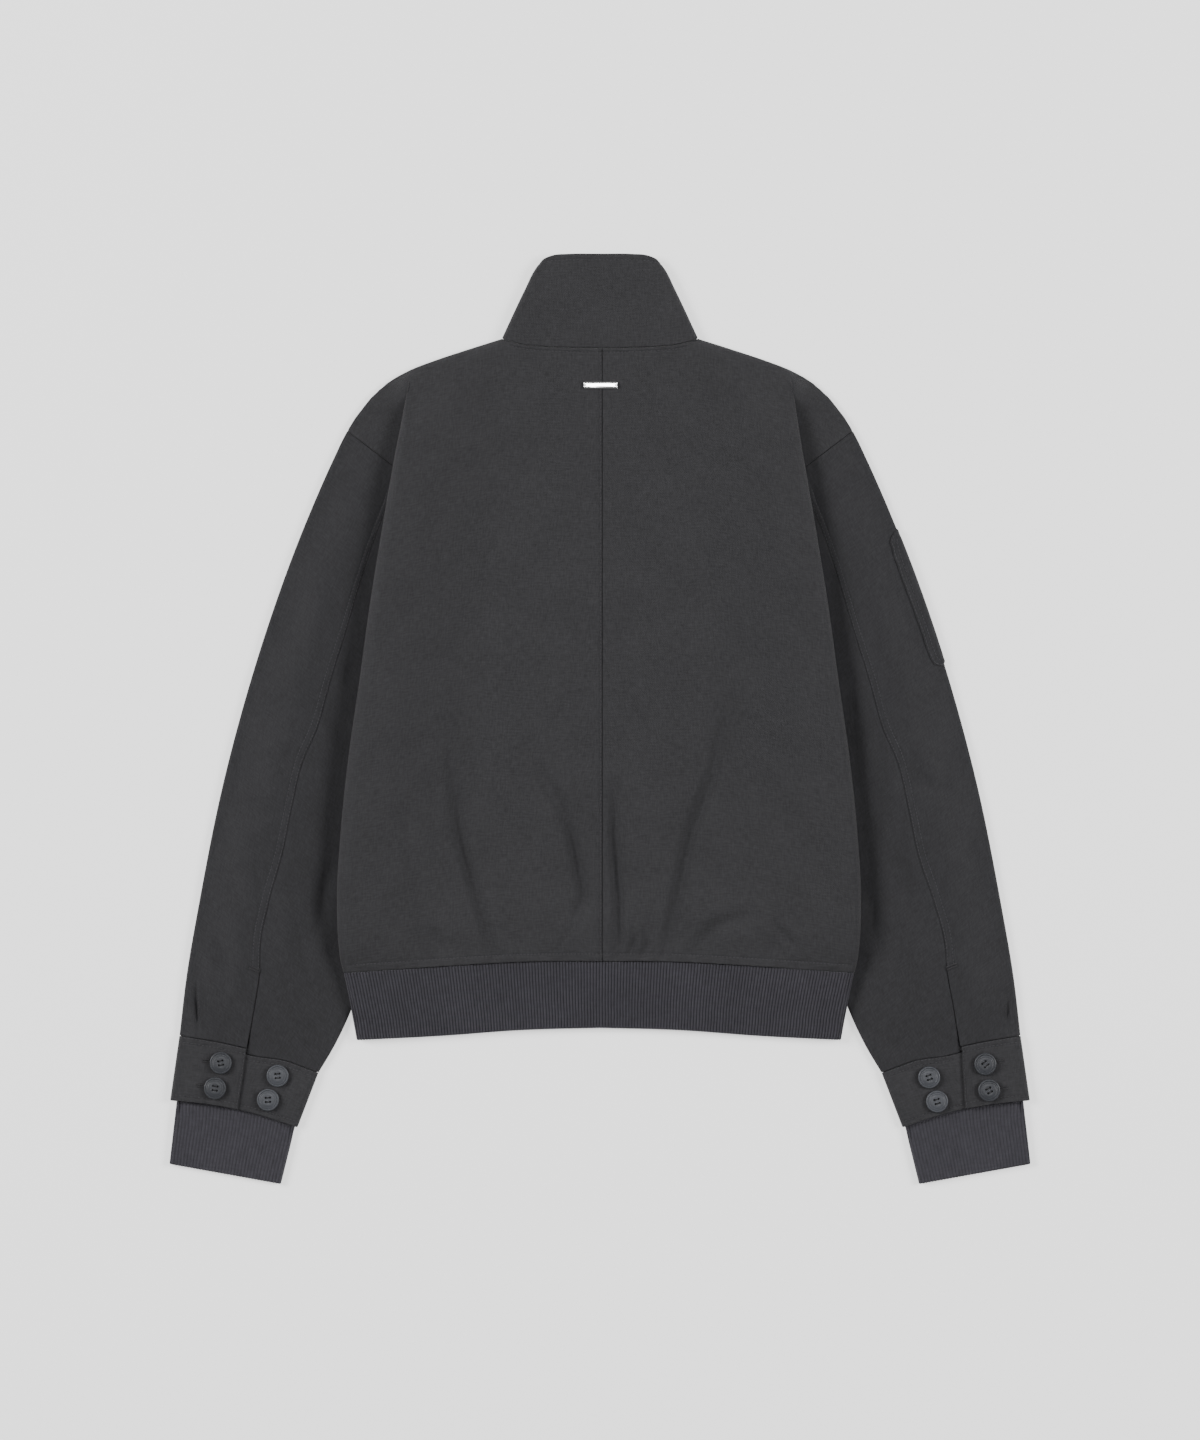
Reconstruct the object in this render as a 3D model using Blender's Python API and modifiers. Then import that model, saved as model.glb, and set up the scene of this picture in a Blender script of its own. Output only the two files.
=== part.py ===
"""A bomber jacket of dark cotton twill, laid flat on its front with its back upwards.

X runs across the jacket, Y from the hem to the collar and Z up from the surface it lies on.
Sizes are in millimetres and become metres where a mesh is made. Heights are those of the cloth's
outer side: each piece is an open surface that Solidify gives its wall inwards, or a loft of ribs
over a plain inside.
"""
import math

import bmesh
import bpy
import numpy as np

MM = 0.001                  # metres in a millimetre

# --- cloth ---
TWILL = 1.6                 # wall of the body and the sleeves
CUFF_CLOTH = 1.8            # two layers of twill, pressed
COLLAR_CLOTH = 2.4          # twill, canvas and lining
RIB_KNIT = 2.0              # knitted rib between its ridges
RIDGE = 0.5                 # how far a rib stands out of the knit
SEAM_GAP = 0.3              # between two pieces at a seam
CENTRE_SEAM = 1.8           # the centre-back seam lies a little to the right of the middle
SEAM_FLAT = 2.6             # the cloth beside it stays level over this width
EDGE_LEAN = 0.9             # the right side edge lies this far in, the left one this far out
SIDE_SEAM_IN = 10.5         # the side seam lies this far in from the side edge, underneath

# --- layers, counted up from the surface ---
OVER_SLEEVE = 5.8           # underside of the body where it lies on a sleeve
SLEEVE_FLAT = 4.8           # top of the sleeve where the body lies on it
CROWN = 8.6                 # top of the back along its middle
BLOUSE = 3.4                # how far the back bags out above the hem
EDGE_RISE = 96              # width over which the back rises to its side edge
SHOULDER_LIP = 3.6          # height of the back's edge at the shoulder

# --- outlines: tables with named columns ---
BODY_EDGE = (               # y, x of the body's rolled side edge, down to the hem's foot
    (-276, 208.1), (-252, 212.4), (-224, 217.8), (-207, 222.0), (-185, 224.2), (-150, 224.9),
    (-104, 222.3), (-35, 215.3), (34, 205.5), (102, 196.1), (171, 184.9), (223, 176.0),
    (274, 167.0), (300, 163.0), (330, 163.0))
EDGE_TOP = (                # y, height of the back along its side edge
    (-218, 13.7), (-200, 18.5), (-170, 22.0), (-60, 24.0), (100, 23.0), (217, 18.0),
    (268, 13.0), (282, 11.0), (300, 7.5))
SLEEVE_OUTLINE = (          # y, x of the sleeve's outer fold and, above the armhole, the shoulder
    (-272, 361.5), (-224, 355.9), (-156, 344.3), (-52, 323.2), (16, 305.3), (85, 283.9),
    (154, 258.9), (188, 244.9), (222, 229.8), (247.7, 217.2), (257, 211.6), (274, 198.9),
    (291, 179.8), (300, 163.0))
SLEEVE_FOLD = (             # y, x of the sleeve's inner fold, under the body down to the hem
    (-304, 242.0), (-283, 229.4), (-248, 213.0), (-180, 195.0), (-120, 181.0), (-60, 170.0),
    (0, 160.0), (60, 150.0))
SHOULDER = ((84.3, 326.8), (114.4, 317.3), (140.5, 308.7), (163, 300.0), (179.1, 291.5),
            (190.3, 282.9), (198.7, 274.3), (211.6, 257.1), (217.2, 247.7))   # x, y
NECK_SEAM = ((0, 318.6), (24, 318.8), (40, 319.4), (52, 320.0), (63.6, 321.1), (74, 323.3),
             (84.3, 326.8))                                                   # x, y
HEM_SEAM = ((0, -208.1), (60, -208.4), (100, -210.2), (150, -213.3), (222, -218.0))
HEM_FOOT = ((0, -265.7), (65, -267.5), (138, -272.6), (208, -276.0))
COLLAR_TOP = ((0, 399.8), (27.6, 399.6), (40, 398.6), (48.6, 395.6))
COLLAR_SIDE = ((0, 84.3), (0.3, 74.8), (0.6, 65.0), (0.9, 54.2), (1, 48.6))   # up it, x
ARMPIT = (150.0, 60.0)
ARM_CORNER = (170.0, 212.0)         # where the armhole seam turns, hidden under the back
ARM_TOP = (217.2, 247.7)            # where it meets the shoulder's edge
NECK_CORNER_X = 84.3
SHOULDER_FOLD_X = 163.0             # where the side edge runs out at the shoulder
FOLD_END = 290.0                    # y above which the back no longer folds under there
OPEN_FRONT = 5.0                    # half the gap that the zip tape fills

# --- the back's main folds: soft troughs, each along a few points from its top down ---
BACK_FOLDS = (              # depth, half width, points (x, y)
    (2.4, 9, ((-131, -22), (-125, -70), (-118, -112), (-103, -152), (-94, -194))),
    (2.6, 9, ((-60, -27), (-41, -61), (-26, -86), (-20, -125), (-14, -157), (-34, -180))),
    (3.0, 8, ((11, -60), (13, -114), (17, -161), (12, -198))),
    (2.0, 12, ((135, 120), (116, 34), (94, -53), (73, -105), (58, -188))),
    (2.0, 9, ((82, -199), (103, -177), (134, -168))),
    (1.8, 9, ((161, -167), (171, -196))),
    (1.8, 10, ((-190, -182), (-150, -190), (-118, -196))),
)

# --- sleeves ---
SLEEVE_DOME = ((-300, 2.0), (-272, 3.2), (-235, 7.0), (-150, 9.0), (0, 9.6), (150, 8.0),
               (220, 6.0), (260, 3.5), (300, 1.0))                            # y, rise
ROW_SLANT = 1.4             # rows cross the outer fold aslant, so a lift along them is this longer
DOME_RUN = 46               # width over which the sleeve rises from the body's edge or its own
ARM_SEAM = ((0, 0.721), (0.1, 0.652), (0.2, 0.592), (0.3, 0.572), (0.38, 0.565), (0.46, 0.598),
            (0.55, 0.594), (0.63, 0.587), (0.72, 0.605), (0.8, 0.604), (0.85, 0.572), (0.92, 0.546),
            (1, 0.515))                                                       # down it, across
FRONT_SEAM = 0.42           # the sleeve's hidden seam, as a share of the way across
SEAM_TURN = {-1: 0.0, 1: 0.05}      # the right seam ends further out at the cuff
CUFF_BOW = 4.5              # the cuff's edges bow up by this in the middle

# --- cuffs: corners (x, y) and overlap ---
CUFF_TOP_OUT, CUFF_TOP_IN = (361.5, -272.0), (242.0, -304.0)
CUFF_FOOT_OUT, CUFF_FOOT_IN = (369.5, -327.7), (260.0, -351.0)
OVERLAP_END = {-1: (0.515, 0.468), 1: (0.575, 0.492)}   # across, at the cuff's top and foot
UNDERLAP_RUN = 0.2          # how far the underlap runs on under the overlap, across
UNDERLAP_DIP = 5.0          # its top edge lies lower there
UNDERLAP_TOP, OVERLAP_TOP, CUFF_EDGE_TOP = 6.0, 8.2, 6.8
RIB_TOP_OUT, RIB_TOP_IN = (364.2, -329.2), (262.2, -350.9)
RIB_FOOT_OUT, RIB_FOOT_IN = (370.3, -382.5), (274.3, -399.9)
CUFF_RIBS, CUFF_RIB_TOP = 32, 5.2
HEM_RIBS, HEM_TOP, HEM_SIDE_TOP, HEM_FOOT_TOP = 160, 7.6, 14.0, 8.6

# --- trim ---
BUTTON_WIDTH, BUTTON_HEIGHT = 19.0, 3.0
BUTTONS = (                 # side, x, y, top of the cuff there
    (-1, 325.6, -295.3, OVERLAP_TOP), (-1, 330.5, -317.0, OVERLAP_TOP),
    (-1, 276.9, -306.5, UNDERLAP_TOP), (-1, 285.2, -327.1, UNDERLAP_TOP),
    (1, 330.8, -296.3, OVERLAP_TOP), (1, 334.1, -318.8, OVERLAP_TOP),
    (1, 282.7, -307.8, UNDERLAP_TOP), (1, 289.5, -328.5, UNDERLAP_TOP))
BAR_LENGTH, BAR_WIDTH, BAR_THICK, BAR_AT = 28.8, 5.7, 1.6, (0.5, 286.7)
TAPE_THICK, TAPE_LIFT = 1.2, 0.4
POCKET_EDGE = (             # down the sleeve, across: the pocket's edge on the back of the sleeve
    (0.162, 0.985), (0.166, 0.957), (0.178, 0.943), (0.21, 0.934), (0.26, 0.932), (0.32, 0.934),
    (0.354, 0.935), (0.374, 0.95), (0.386, 0.985))
POCKET_CLOTH = 1.4


def follow(table, at):
    """A smooth curve through a table's (key, value) rows, level past its ends."""
    keys, values = np.array(table, float).T
    at = np.clip(np.asarray(at, float), keys[0], keys[-1])
    slopes = np.gradient(values, keys)
    i = np.clip(np.searchsorted(keys, at, side="right") - 1, 0, len(keys) - 2)
    step = keys[i + 1] - keys[i]
    t = (at - keys[i]) / step
    return ((1 + 2 * t) * (1 - t) ** 2 * values[i] + t * (1 - t) ** 2 * step * slopes[i]
            + t * t * (3 - 2 * t) * values[i + 1] + t * t * (t - 1) * step * slopes[i + 1])


def straight(table, at):
    """The same table, read along straight lines."""
    keys, values = np.array(table, float).T
    return np.interp(at, keys, values)


def ease(t):
    """0 below 0, 1 above 1 and a soft step between."""
    t = np.clip(t, 0, 1)
    return t * t * (3 - 2 * t)


def quarter(t):
    """The rise of a quarter round: 0 at 0, level at 1 and past it."""
    return np.sqrt(1 - (1 - np.clip(t, 0, 1)) ** 2)


def mix(a, b, t):
    return a + (b - a) * t


def line_between(a, b, t):
    """The point (x, y) a share t of the way from a to b."""
    return mix(a[0], b[0], t), mix(a[1], b[1], t)


def distance_to_path(x, y, points):
    """How far each (x, y) is from a path, and how far along the path it is, from 0 to 1."""
    nearest = np.full(np.shape(x), 1e9)
    along = np.zeros(np.shape(x))
    legs = len(points) - 1
    for leg in range(legs):
        (ax, ay), (bx, by) = points[leg], points[leg + 1]
        length2 = (bx - ax) ** 2 + (by - ay) ** 2
        t = np.clip(((x - ax) * (bx - ax) + (y - ay) * (by - ay)) / length2, 0, 1)
        far = np.hypot(x - mix(ax, bx, t), y - mix(ay, by, t))
        closer = far < nearest
        nearest = np.where(closer, far, nearest)
        along = np.where(closer, (leg + t) / legs, along)
    return nearest, along


# ---------------------------------------------------------------- heights and outlines

def body_edge(y, side):
    return follow(BODY_EDGE, y) - side * EDGE_LEAN * ease((280 - y) / 60)


def edge_top(y):
    return mix(SHOULDER_LIP, follow(EDGE_TOP, y), quarter((SHOULDER[3][1] - y) / 12))


def edge_radius(y):
    """Radius of the roll at the side edge, which runs out just below the shoulder."""
    return np.where(y < FOLD_END, (edge_top(y) - OVER_SLEEVE) / 2, 0)


def shoulder_line(x):
    """y of the jacket's upper edge: the neck seam, then the shoulder."""
    return np.where(x < NECK_CORNER_X, straight(NECK_SEAM, x), follow(SHOULDER, x))


def back_height(x, y, side):
    """Top of the back at |x|, y."""
    start = body_edge(y, side) - edge_radius(y)
    rise = ease((x - (start - EDGE_RISE)) / EDGE_RISE)
    bag = BLOUSE * np.exp(-((y + 178) / 30) ** 2) * (1 - rise)
    dip = np.zeros(np.shape(x))
    for depth, half_width, points in BACK_FOLDS:
        far, along = distance_to_path(x * side, y, points)
        dip = dip + depth * np.exp(-(far / half_width) ** 2) * np.sin(np.pi * mix(0.12, 0.88, along))
    dip = dip * (1 - rise) * ease((np.abs(x - side * CENTRE_SEAM) - SEAM_FLAT) / 8)
    height = mix(CROWN + bag - dip, follow(EDGE_TOP, y), rise)
    below_shoulder = quarter((shoulder_line(x) - y) / 12)
    drop = ease((x - (NECK_CORNER_X - 12)) / 12)
    return mix(height, mix(SHOULDER_LIP, height, below_shoulder), drop)


def sleeve_outer(y):
    return follow(SLEEVE_OUTLINE, y)


def sleeve_height(x, y, side):
    """Top of the sleeve at |x|, y; the shoulder beside it, under the back's fold, has it too."""
    inner = np.maximum(body_edge(y, side), follow(SLEEVE_FOLD, y))
    slope = (sleeve_outer(y + 2) - sleeve_outer(y - 2)) / 4
    from_outside = (sleeve_outer(y) - x) / np.hypot(1, slope)
    rise = ease((x - inner) / DOME_RUN) * ease(from_outside / DOME_RUN)
    return SLEEVE_FLAT + follow(SLEEVE_DOME, y) * rise


# ---------------------------------------------------------------- making meshes

def finish(name, colour, roughness, metallic=0.0):
    """The piece's own material."""
    material = bpy.data.materials.new(name)
    material.use_nodes = True
    shader = material.node_tree.nodes["Principled BSDF"]
    shader.inputs["Base Color"].default_value = (*colour, 1)
    shader.inputs["Roughness"].default_value = roughness
    shader.inputs["Metallic"].default_value = metallic
    return material


TWILL_COLOUR = (0.047, 0.046, 0.049)
RIB_COLOUR = (0.046, 0.045, 0.052)


def add_piece(name, bm, colour=TWILL_COLOUR, roughness=0.85, metallic=0.0, smooth=True):
    """Make a named object of a bmesh that is in millimetres."""
    bmesh.ops.scale(bm, vec=(MM, MM, MM), verts=bm.verts)
    mesh = bpy.data.meshes.new(name)
    bm.to_mesh(mesh)
    bm.free()
    if smooth:
        mesh.shade_smooth()
        mesh.set_sharp_from_angle(angle=math.radians(50))
    mesh.materials.append(finish(name, colour, roughness, metallic))
    piece = bpy.data.objects.new(name, mesh)
    jacket.objects.link(piece)
    return piece


def grid_of(points):
    """A grid whose corners are put where points, an array (columns, rows, 3), says."""
    columns, rows = points.shape[:2]
    bm = bmesh.new()
    bmesh.ops.create_grid(bm, x_segments=columns - 1, y_segments=rows - 1, size=1)
    for vert in bm.verts:
        column = round((vert.co.x + 1) / 2 * (columns - 1))
        row = round((vert.co.y + 1) / 2 * (rows - 1))
        vert.co = points[column, row]
    return bm


def cloth(name, points, wall, flip, **look):
    """A cloth piece: an open surface given its wall inwards by Solidify."""
    bm = grid_of(points)
    bmesh.ops.remove_doubles(bm, verts=bm.verts, dist=0.01)
    bmesh.ops.dissolve_degenerate(bm, edges=bm.edges, dist=0.005)
    if flip:
        bmesh.ops.reverse_faces(bm, faces=bm.faces)
    piece = add_piece(name, bm, **look)
    shell = piece.modifiers.new("wall", "SOLIDIFY")
    shell.thickness = wall * MM
    shell.offset = -1
    return piece


def join_rows(bm, first, second, first_marks, second_marks):
    """Fill between two rows of corners of unlike number, in step by each corner's mark."""
    i = j = 0
    while i < len(first) - 1 or j < len(second) - 1:
        if j == len(second) - 1 or (i < len(first) - 1
                                    and first_marks[i + 1] <= second_marks[j + 1]):
            bm.faces.new((first[i], first[i + 1], second[j]))
            i += 1
        else:
            bm.faces.new((first[i], second[j + 1], second[j]))
            j += 1


def round_marks(before, tops, after):
    """Each column's place round a band: those before its top, from 0 to 1 over it, those after."""
    return np.concatenate([np.arange(-before, 0), np.linspace(0, 1, tops),
                           np.arange(2, after + 2)])


def ribbed_band(name, outside, inside, before, after, ring, **look):
    """A loft of a ridged outside over a plain inside, both arrays (columns, rows, 3).

    The two have equal rows, and unlike columns only over the top, between the columns before and
    after it. A ring's columns close on themselves; an open band gets ends.
    """
    marks = [round_marks(before, len(points) - before - after, after + ring)
             for points in (outside, inside)]
    bm = bmesh.new()
    skins = []
    for points in (outside, inside):
        corners = [[bm.verts.new(point) for point in column] for column in points]
        if ring:
            corners.append(corners[0])
        skins.append(corners)
    out, plain = skins
    rows = outside.shape[1]
    for a, b in zip(out, out[1:]):
        for row in range(rows - 1):
            bm.faces.new((a[row], b[row], b[row + 1], a[row + 1]))
    for a, b in zip(plain, plain[1:]):
        for row in range(rows - 1):
            bm.faces.new((a[row + 1], b[row + 1], b[row], a[row]))
    join_rows(bm, [column[0] for column in plain], [column[0] for column in out], *marks[::-1])
    join_rows(bm, [column[-1] for column in out], [column[-1] for column in plain], *marks)
    if not ring:
        for end in (0, -1):
            for row in range(rows - 1):
                loop = (out[end][row], out[end][row + 1], plain[end][row + 1], plain[end][row])
                bm.faces.new(loop if end == 0 else loop[::-1])
    bmesh.ops.recalc_face_normals(bm, faces=bm.faces)
    return add_piece(name, bm, **look)


def table_of(columns, rows, place):
    """Points (columns, rows, 3) with place(column, rows' values) giving x, y and z arrays."""
    made = []
    for column in columns:
        x, y, z = place(column, rows)
        made.append(np.stack(np.broadcast_arrays(x, y, z), axis=-1))
    return np.array(made, float)


# ---------------------------------------------------------------- body

BACK_ROWS = np.array((-218, -210, -196, -180, -160, -136, -110, -80, -48, -16, 16, 40, 50, 60,
                      90, 124, 158, 188, 212, 222, 236, 252, 268, 282, 291, 296, 300),
                     float)             # y of each row at the side edge
NECK_STEPS = (12, 24, 40, 52, 63.6, 74, 84.3)       # |x| of the columns that end at the collar
BACK_COLUMNS = ((0, .012) + tuple(x / SHOULDER_FOLD_X for x in NECK_STEPS)
                + (.6, .68, .76, .84, .92, 1))
ROLL_ANGLES = (50, 10, -30, -90)
FOLD_TURN = ((212, 170.0), (222, 168.5), (236, 167.0), (252, 165.5), (268, 163.5), (282, 161.0),
             (300, 160.0))              # y, x where the cloth under the side edge turns back out
SHOULDER_REACH = (                      # y at the side edge, x and y it reaches beyond the fold
    (212, 170.0, 212.0), (222, 190.0, 227.13), (236, 217.2, 247.7), (252, 210.0, 259.4),
    (268, 197.0, 276.0), (282, 183.0, 288.6), (291, 175.0, 293.8), (296, 169.0, 297.0),
    (300, 163.0, 300.0))


def side_seam(y, side):
    """|x| of the body's side seam and, above the armpit, of the armhole's hidden stretch."""
    low = body_edge(y, side) - SIDE_SEAM_IN
    high = mix(ARMPIT[0], ARM_CORNER[0], (y - ARMPIT[1]) / (ARM_CORNER[1] - ARMPIT[1]))
    return mix(low, high, np.clip((y - 40) / 20, 0, 1))


def back_row_y(share, rows):
    """y of the rows in the column that lies a share of the way out to the side edge."""
    low = follow(HEM_SEAM, share * BODY_EDGE[2][1])
    high = shoulder_line(np.asarray(share * SHOULDER_FOLD_X))
    return mix(low, high, (rows - BACK_ROWS[0]) / (BACK_ROWS[-1] - BACK_ROWS[0]))


def back_flat(side):
    def place(share, rows):
        y = back_row_y(share, rows)
        start = side * CENTRE_SEAM + SEAM_GAP / 2
        x = share * (body_edge(y, side) - edge_radius(y)) + start * (1 - share) ** 6
        return side * x, y, back_height(x, y, side)
    return place


def above_hem(x, rows):
    return np.maximum(rows, follow(HEM_SEAM, x))


def back_roll(side):
    def place(angle, rows):
        radius = edge_radius(rows)
        x = body_edge(rows, side) - radius + radius * math.cos(math.radians(angle))
        z = edge_top(rows) - radius + radius * math.sin(math.radians(angle))
        return side * x, above_hem(x, rows), z
    return place


def back_under(side):
    """The cloth under the side edge, in to its seam, and out again at the shoulder."""
    def place(step, rows):
        start = body_edge(rows, side) - edge_radius(rows)
        clear = SEAM_GAP / 2 + 0.8 * ((rows > 40) & (rows < 60))
        seam = side_seam(rows, side) + clear
        shoulder = rows > ARM_CORNER[1]
        folded = rows < FOLD_END
        inner = np.where(shoulder, straight(FOLD_TURN, rows), np.minimum(seam, start - 0.4))
        inner = np.where(folded, inner, start)
        bottom = np.where(folded, OVER_SLEEVE, edge_top(rows))
        if step <= 1:
            x = mix(start, inner, step)
            return side * x, above_hem(x, rows), bottom
        top = np.where(folded, SLEEVE_FLAT, bottom)
        if step == 2:
            x = np.where(shoulder & folded, inner - 0.5, inner)
            y = above_hem(x, rows)
            return side * x, y, np.where(shoulder, (bottom + top) / 2, bottom)
        share = step - 3
        table = np.array(SHOULDER_REACH).T
        reach_x, reach_y = np.interp(rows, table[0], table[1]), np.interp(rows, table[0], table[2])
        x = np.where(shoulder, mix(inner, reach_x, share), inner)
        y = np.where(shoulder, mix(rows, reach_y, share), rows)
        edge_drop = quarter(np.hypot(reach_x - x, reach_y - y) / 7)
        z = mix(top, sleeve_height(x, y, side), share)
        z = np.where(rows > 236, mix(SHOULDER_LIP, z, edge_drop), z)
        y = np.where(shoulder, y, above_hem(x, y))
        return side * x, y, np.where(shoulder, z, bottom)
    return place


def build_back(name, side):
    columns = [table_of(BACK_COLUMNS, BACK_ROWS, back_flat(side)),
               table_of(ROLL_ANGLES, BACK_ROWS, back_roll(side)),
               table_of((0.5, 1, 2, 3, 3.25, 3.5, 3.75, 3.93, 4), BACK_ROWS, back_under(side))]
    points = np.concatenate(columns)
    last_flat = len(BACK_COLUMNS) - 1
    turned_back = last_flat + len(ROLL_ANGLES) + 4
    above = BACK_ROWS > FOLD_END
    points[last_flat + 1:turned_back + 1, above] = points[last_flat, above]
    return cloth(name, points, TWILL, flip=side < 0)


FRONT_ROWS = np.array((-218, -205, -185, -160, -125, -90, -55, -20, 15, 40, 50, 60, 66, 74, 85,
                       130, 212, 230, 247.7, 257, 274, 283, 291.5, 300, 308.7, 317.3, 318.6, 319.4,
                       321.1, 323.3, 326.5), float)     # y of each row
FRONT_COLUMNS = (0, .3, .5, .58, .64, .7, .74, .78, .82, .86, .9, .94, .97, 1)
FRONT_EDGE = ((60, 150.0), (212, 170.0), (247.7, 217.2), (257, 211.2), (274, 198.6), (283, 190.0),
              (291.5, 178.6), (300, 162.6), (308.7, 140.0), (317.3, 113.8), (326.8, 84.6))
FRONT_NECK = ((318.6, 5.0), (318.8, 24), (319.4, 40), (320, 52), (321.1, 63.6), (323.3, 74),
              (326.8, 84.3))                            # both: y, x


def over_sleeve(x, y):
    """Underside of the body's lower layer: flat, then up over the sleeve's inner fold."""
    fold = follow(SLEEVE_FOLD, y)
    across = ease((x - (fold - 20)) / 12)
    ends = ease((86 - y) / 24) * ease((y + 277) / 26)
    return OVER_SLEEVE * across * ends


def build_front(name, side):
    def place(share, rows):
        clear = SEAM_GAP / 2 + 0.8 * ((rows > 40) & (rows < 60))
        edge = np.where(rows < ARMPIT[1], side_seam(rows, side), straight(FRONT_EDGE, rows))
        start = straight(FRONT_NECK, rows)
        x = mix(start, np.maximum(edge - clear, start), share)
        lowest = FRONT_ROWS[0]
        y = rows + (follow(HEM_SEAM, x) - lowest) * np.clip(1 - (rows - lowest) / 40, 0, 1)
        return side * x, y - SEAM_GAP * (rows > 318), over_sleeve(x, y)

    return cloth(name, table_of(FRONT_COLUMNS, FRONT_ROWS, place), TWILL, flip=side > 0)


def build_zip():
    """Plain zip tape between the two fronts, from the hem's foot to the collar's top."""
    bm = bmesh.new()
    bmesh.ops.create_cube(bm, size=1)
    foot, top = HEM_FOOT[0][1] + 1, COLLAR_TOP[0][1] - 1
    bmesh.ops.scale(bm, vec=(2 * (OPEN_FRONT - SEAM_GAP), top - foot, TAPE_THICK), verts=bm.verts)
    bmesh.ops.translate(bm, vec=(0, (foot + top) / 2, TAPE_LIFT + TAPE_THICK / 2), verts=bm.verts)
    return add_piece("front_zip", bm, colour=(0.02, 0.02, 0.02), smooth=False)


# ---------------------------------------------------------------- hem and collar

def wrapped(half_top, top_of, under_of, inset=0.0):
    """Sections of a band that goes round the body, from the zip on the left to that on the right.

    A column is ("under", side, share), ("roll", side, angle) or ("top", share, lift).
    """
    def place(column, rows):
        kind, first, second = column
        side = first if kind != "top" else (1 if first >= 0 else -1)
        edge = half_top(rows, side)
        top, under = top_of(edge, rows), under_of(edge, rows)
        radius = (top - under) / 2
        if kind == "top":
            x = abs(first) * (edge - radius)
            z = top_of(x, rows) + second - inset
        elif kind == "roll":
            turn = math.radians(second)
            x = edge - radius + (radius - inset) * math.cos(turn)
            z = (top + under) / 2 + (radius - inset) * math.sin(turn)
        else:
            x = mix(OPEN_FRONT, edge - radius, second)
            z = under_of(x, rows) + inset
        return x, side, z
    return place


UNDER_SHARES = (0, .5, .78, .84, .88, .92, .96, 1)
BAND_ANGLES = (-40, 10, 50)


def band_columns(tops, under_shares, angles):
    left = [("under", -1, share) for share in under_shares]
    left += [("roll", -1, angle) for angle in angles]
    right = [("roll", 1, angle) for angle in reversed(angles)]
    right += [("under", 1, share) for share in reversed(under_shares)]
    return left + tops + right


def build_hem():
    rows = np.array((0, 0.33, 0.66, 1))

    def height_y(x, share):
        return mix(follow(HEM_SEAM, x) - 2 * SEAM_GAP, follow(HEM_FOOT, x), share)

    def top_of(x, share):
        rise = ease((x - 130) / 72)
        return mix(HEM_TOP, mix(HEM_SIDE_TOP, HEM_FOOT_TOP, ease(share)), rise)

    def under_of(x, share):
        return over_sleeve(x, height_y(x, share))

    def half(share, side):
        return body_edge(mix(-218.0, -276.0, share), side)

    def section(inset):
        shape = wrapped(half, top_of, under_of, inset)

        def place(column, shares):
            x, side, z = shape(column, shares)
            return side * x, height_y(x, shares), z
        return place

    ribs = 2 * HEM_RIBS
    ridged = [("top", mix(-1, 1, i / ribs), RIDGE * (i % 2)) for i in range(ribs + 1)]
    plain = [("top", share, 0) for share in np.linspace(-1, 1, 25)]
    outside = table_of(band_columns(ridged, UNDER_SHARES, BAND_ANGLES), rows, section(0))
    inside = table_of(band_columns(plain, UNDER_SHARES, BAND_ANGLES), rows, section(RIB_KNIT))
    side = len(UNDER_SHARES) + len(BAND_ANGLES)
    return ribbed_band("hem_rib", outside, inside, side, side, ring=False, colour=RIB_COLOUR)


def build_collar():
    rows = np.array((0, 0.3, 0.65, 0.95, 1))
    top_z = 8.8
    flat = COLLAR_SIDE[0][1] - top_z / 2

    def place(column, shares):
        kind, first, second = column
        side = first if kind != "top" else (1 if first >= 0 else -1)
        edge = follow(COLLAR_SIDE, shares)
        radius = top_z / 2
        if kind == "top":
            x, z = abs(first) * (edge - radius), top_z
        elif kind == "roll":
            turn = math.radians(second)
            x = edge - radius + radius * math.cos(turn)
            z = radius + radius * math.sin(turn)
        else:
            x, z = mix(OPEN_FRONT, edge - radius, second), 0.0
        at = x / edge
        foot = straight(NECK_SEAM, at * COLLAR_SIDE[0][1]) + SEAM_GAP
        y = mix(foot, follow(COLLAR_TOP, at * COLLAR_SIDE[-1][1]), shares)
        return side * x, y, z

    steps = [x / flat for x in (24, 40, 52, 63.6, 74, flat)]
    tops = [("top", -share, 0) for share in reversed(steps)] + [("top", 0, 0)]
    tops += [("top", share, 0) for share in steps]
    points = table_of(band_columns(tops, (0, .5, 1), (-60, -20, 20, 60)), rows, place)
    return cloth("collar", points, COLLAR_CLOTH, flip=False)


# ---------------------------------------------------------------- sleeves

def arm_line(across):
    """The armhole seam, from the armpit to the shoulder's edge."""
    corner = ARM_SEAM[0][1]
    low = line_between(ARMPIT, ARM_CORNER, np.clip(across / corner, 0, 1))
    high = line_between(ARM_CORNER, ARM_TOP, np.clip((across - corner) / (1 - corner), 0, 1))
    return np.where(across < corner, low[0], high[0]), np.where(across < corner, low[1], high[1])


def sleeve_plan(down, across):
    """(x, y) at shares down the sleeve and across it, from its inner fold to its outer one."""
    outer_y = mix(ARM_TOP[1], CUFF_TOP_OUT[1], down)
    inner_y = mix(ARMPIT[1], CUFF_TOP_IN[1], down)
    x = mix(follow(SLEEVE_FOLD, inner_y), sleeve_outer(outer_y), across)
    y = mix(inner_y, outer_y, across)
    arm_x, arm_y = arm_line(across)
    fade = np.clip(1 - down / 0.4, 0, 1) ** 2
    x = x + fade * (arm_x - mix(ARMPIT[0], ARM_TOP[0], across))
    y = y + fade * (arm_y - mix(ARMPIT[1], ARM_TOP[1], across))
    y = y + CUFF_BOW * np.sin(np.pi * across) * ease((down - 0.85) / 0.15)
    return x, y


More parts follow.
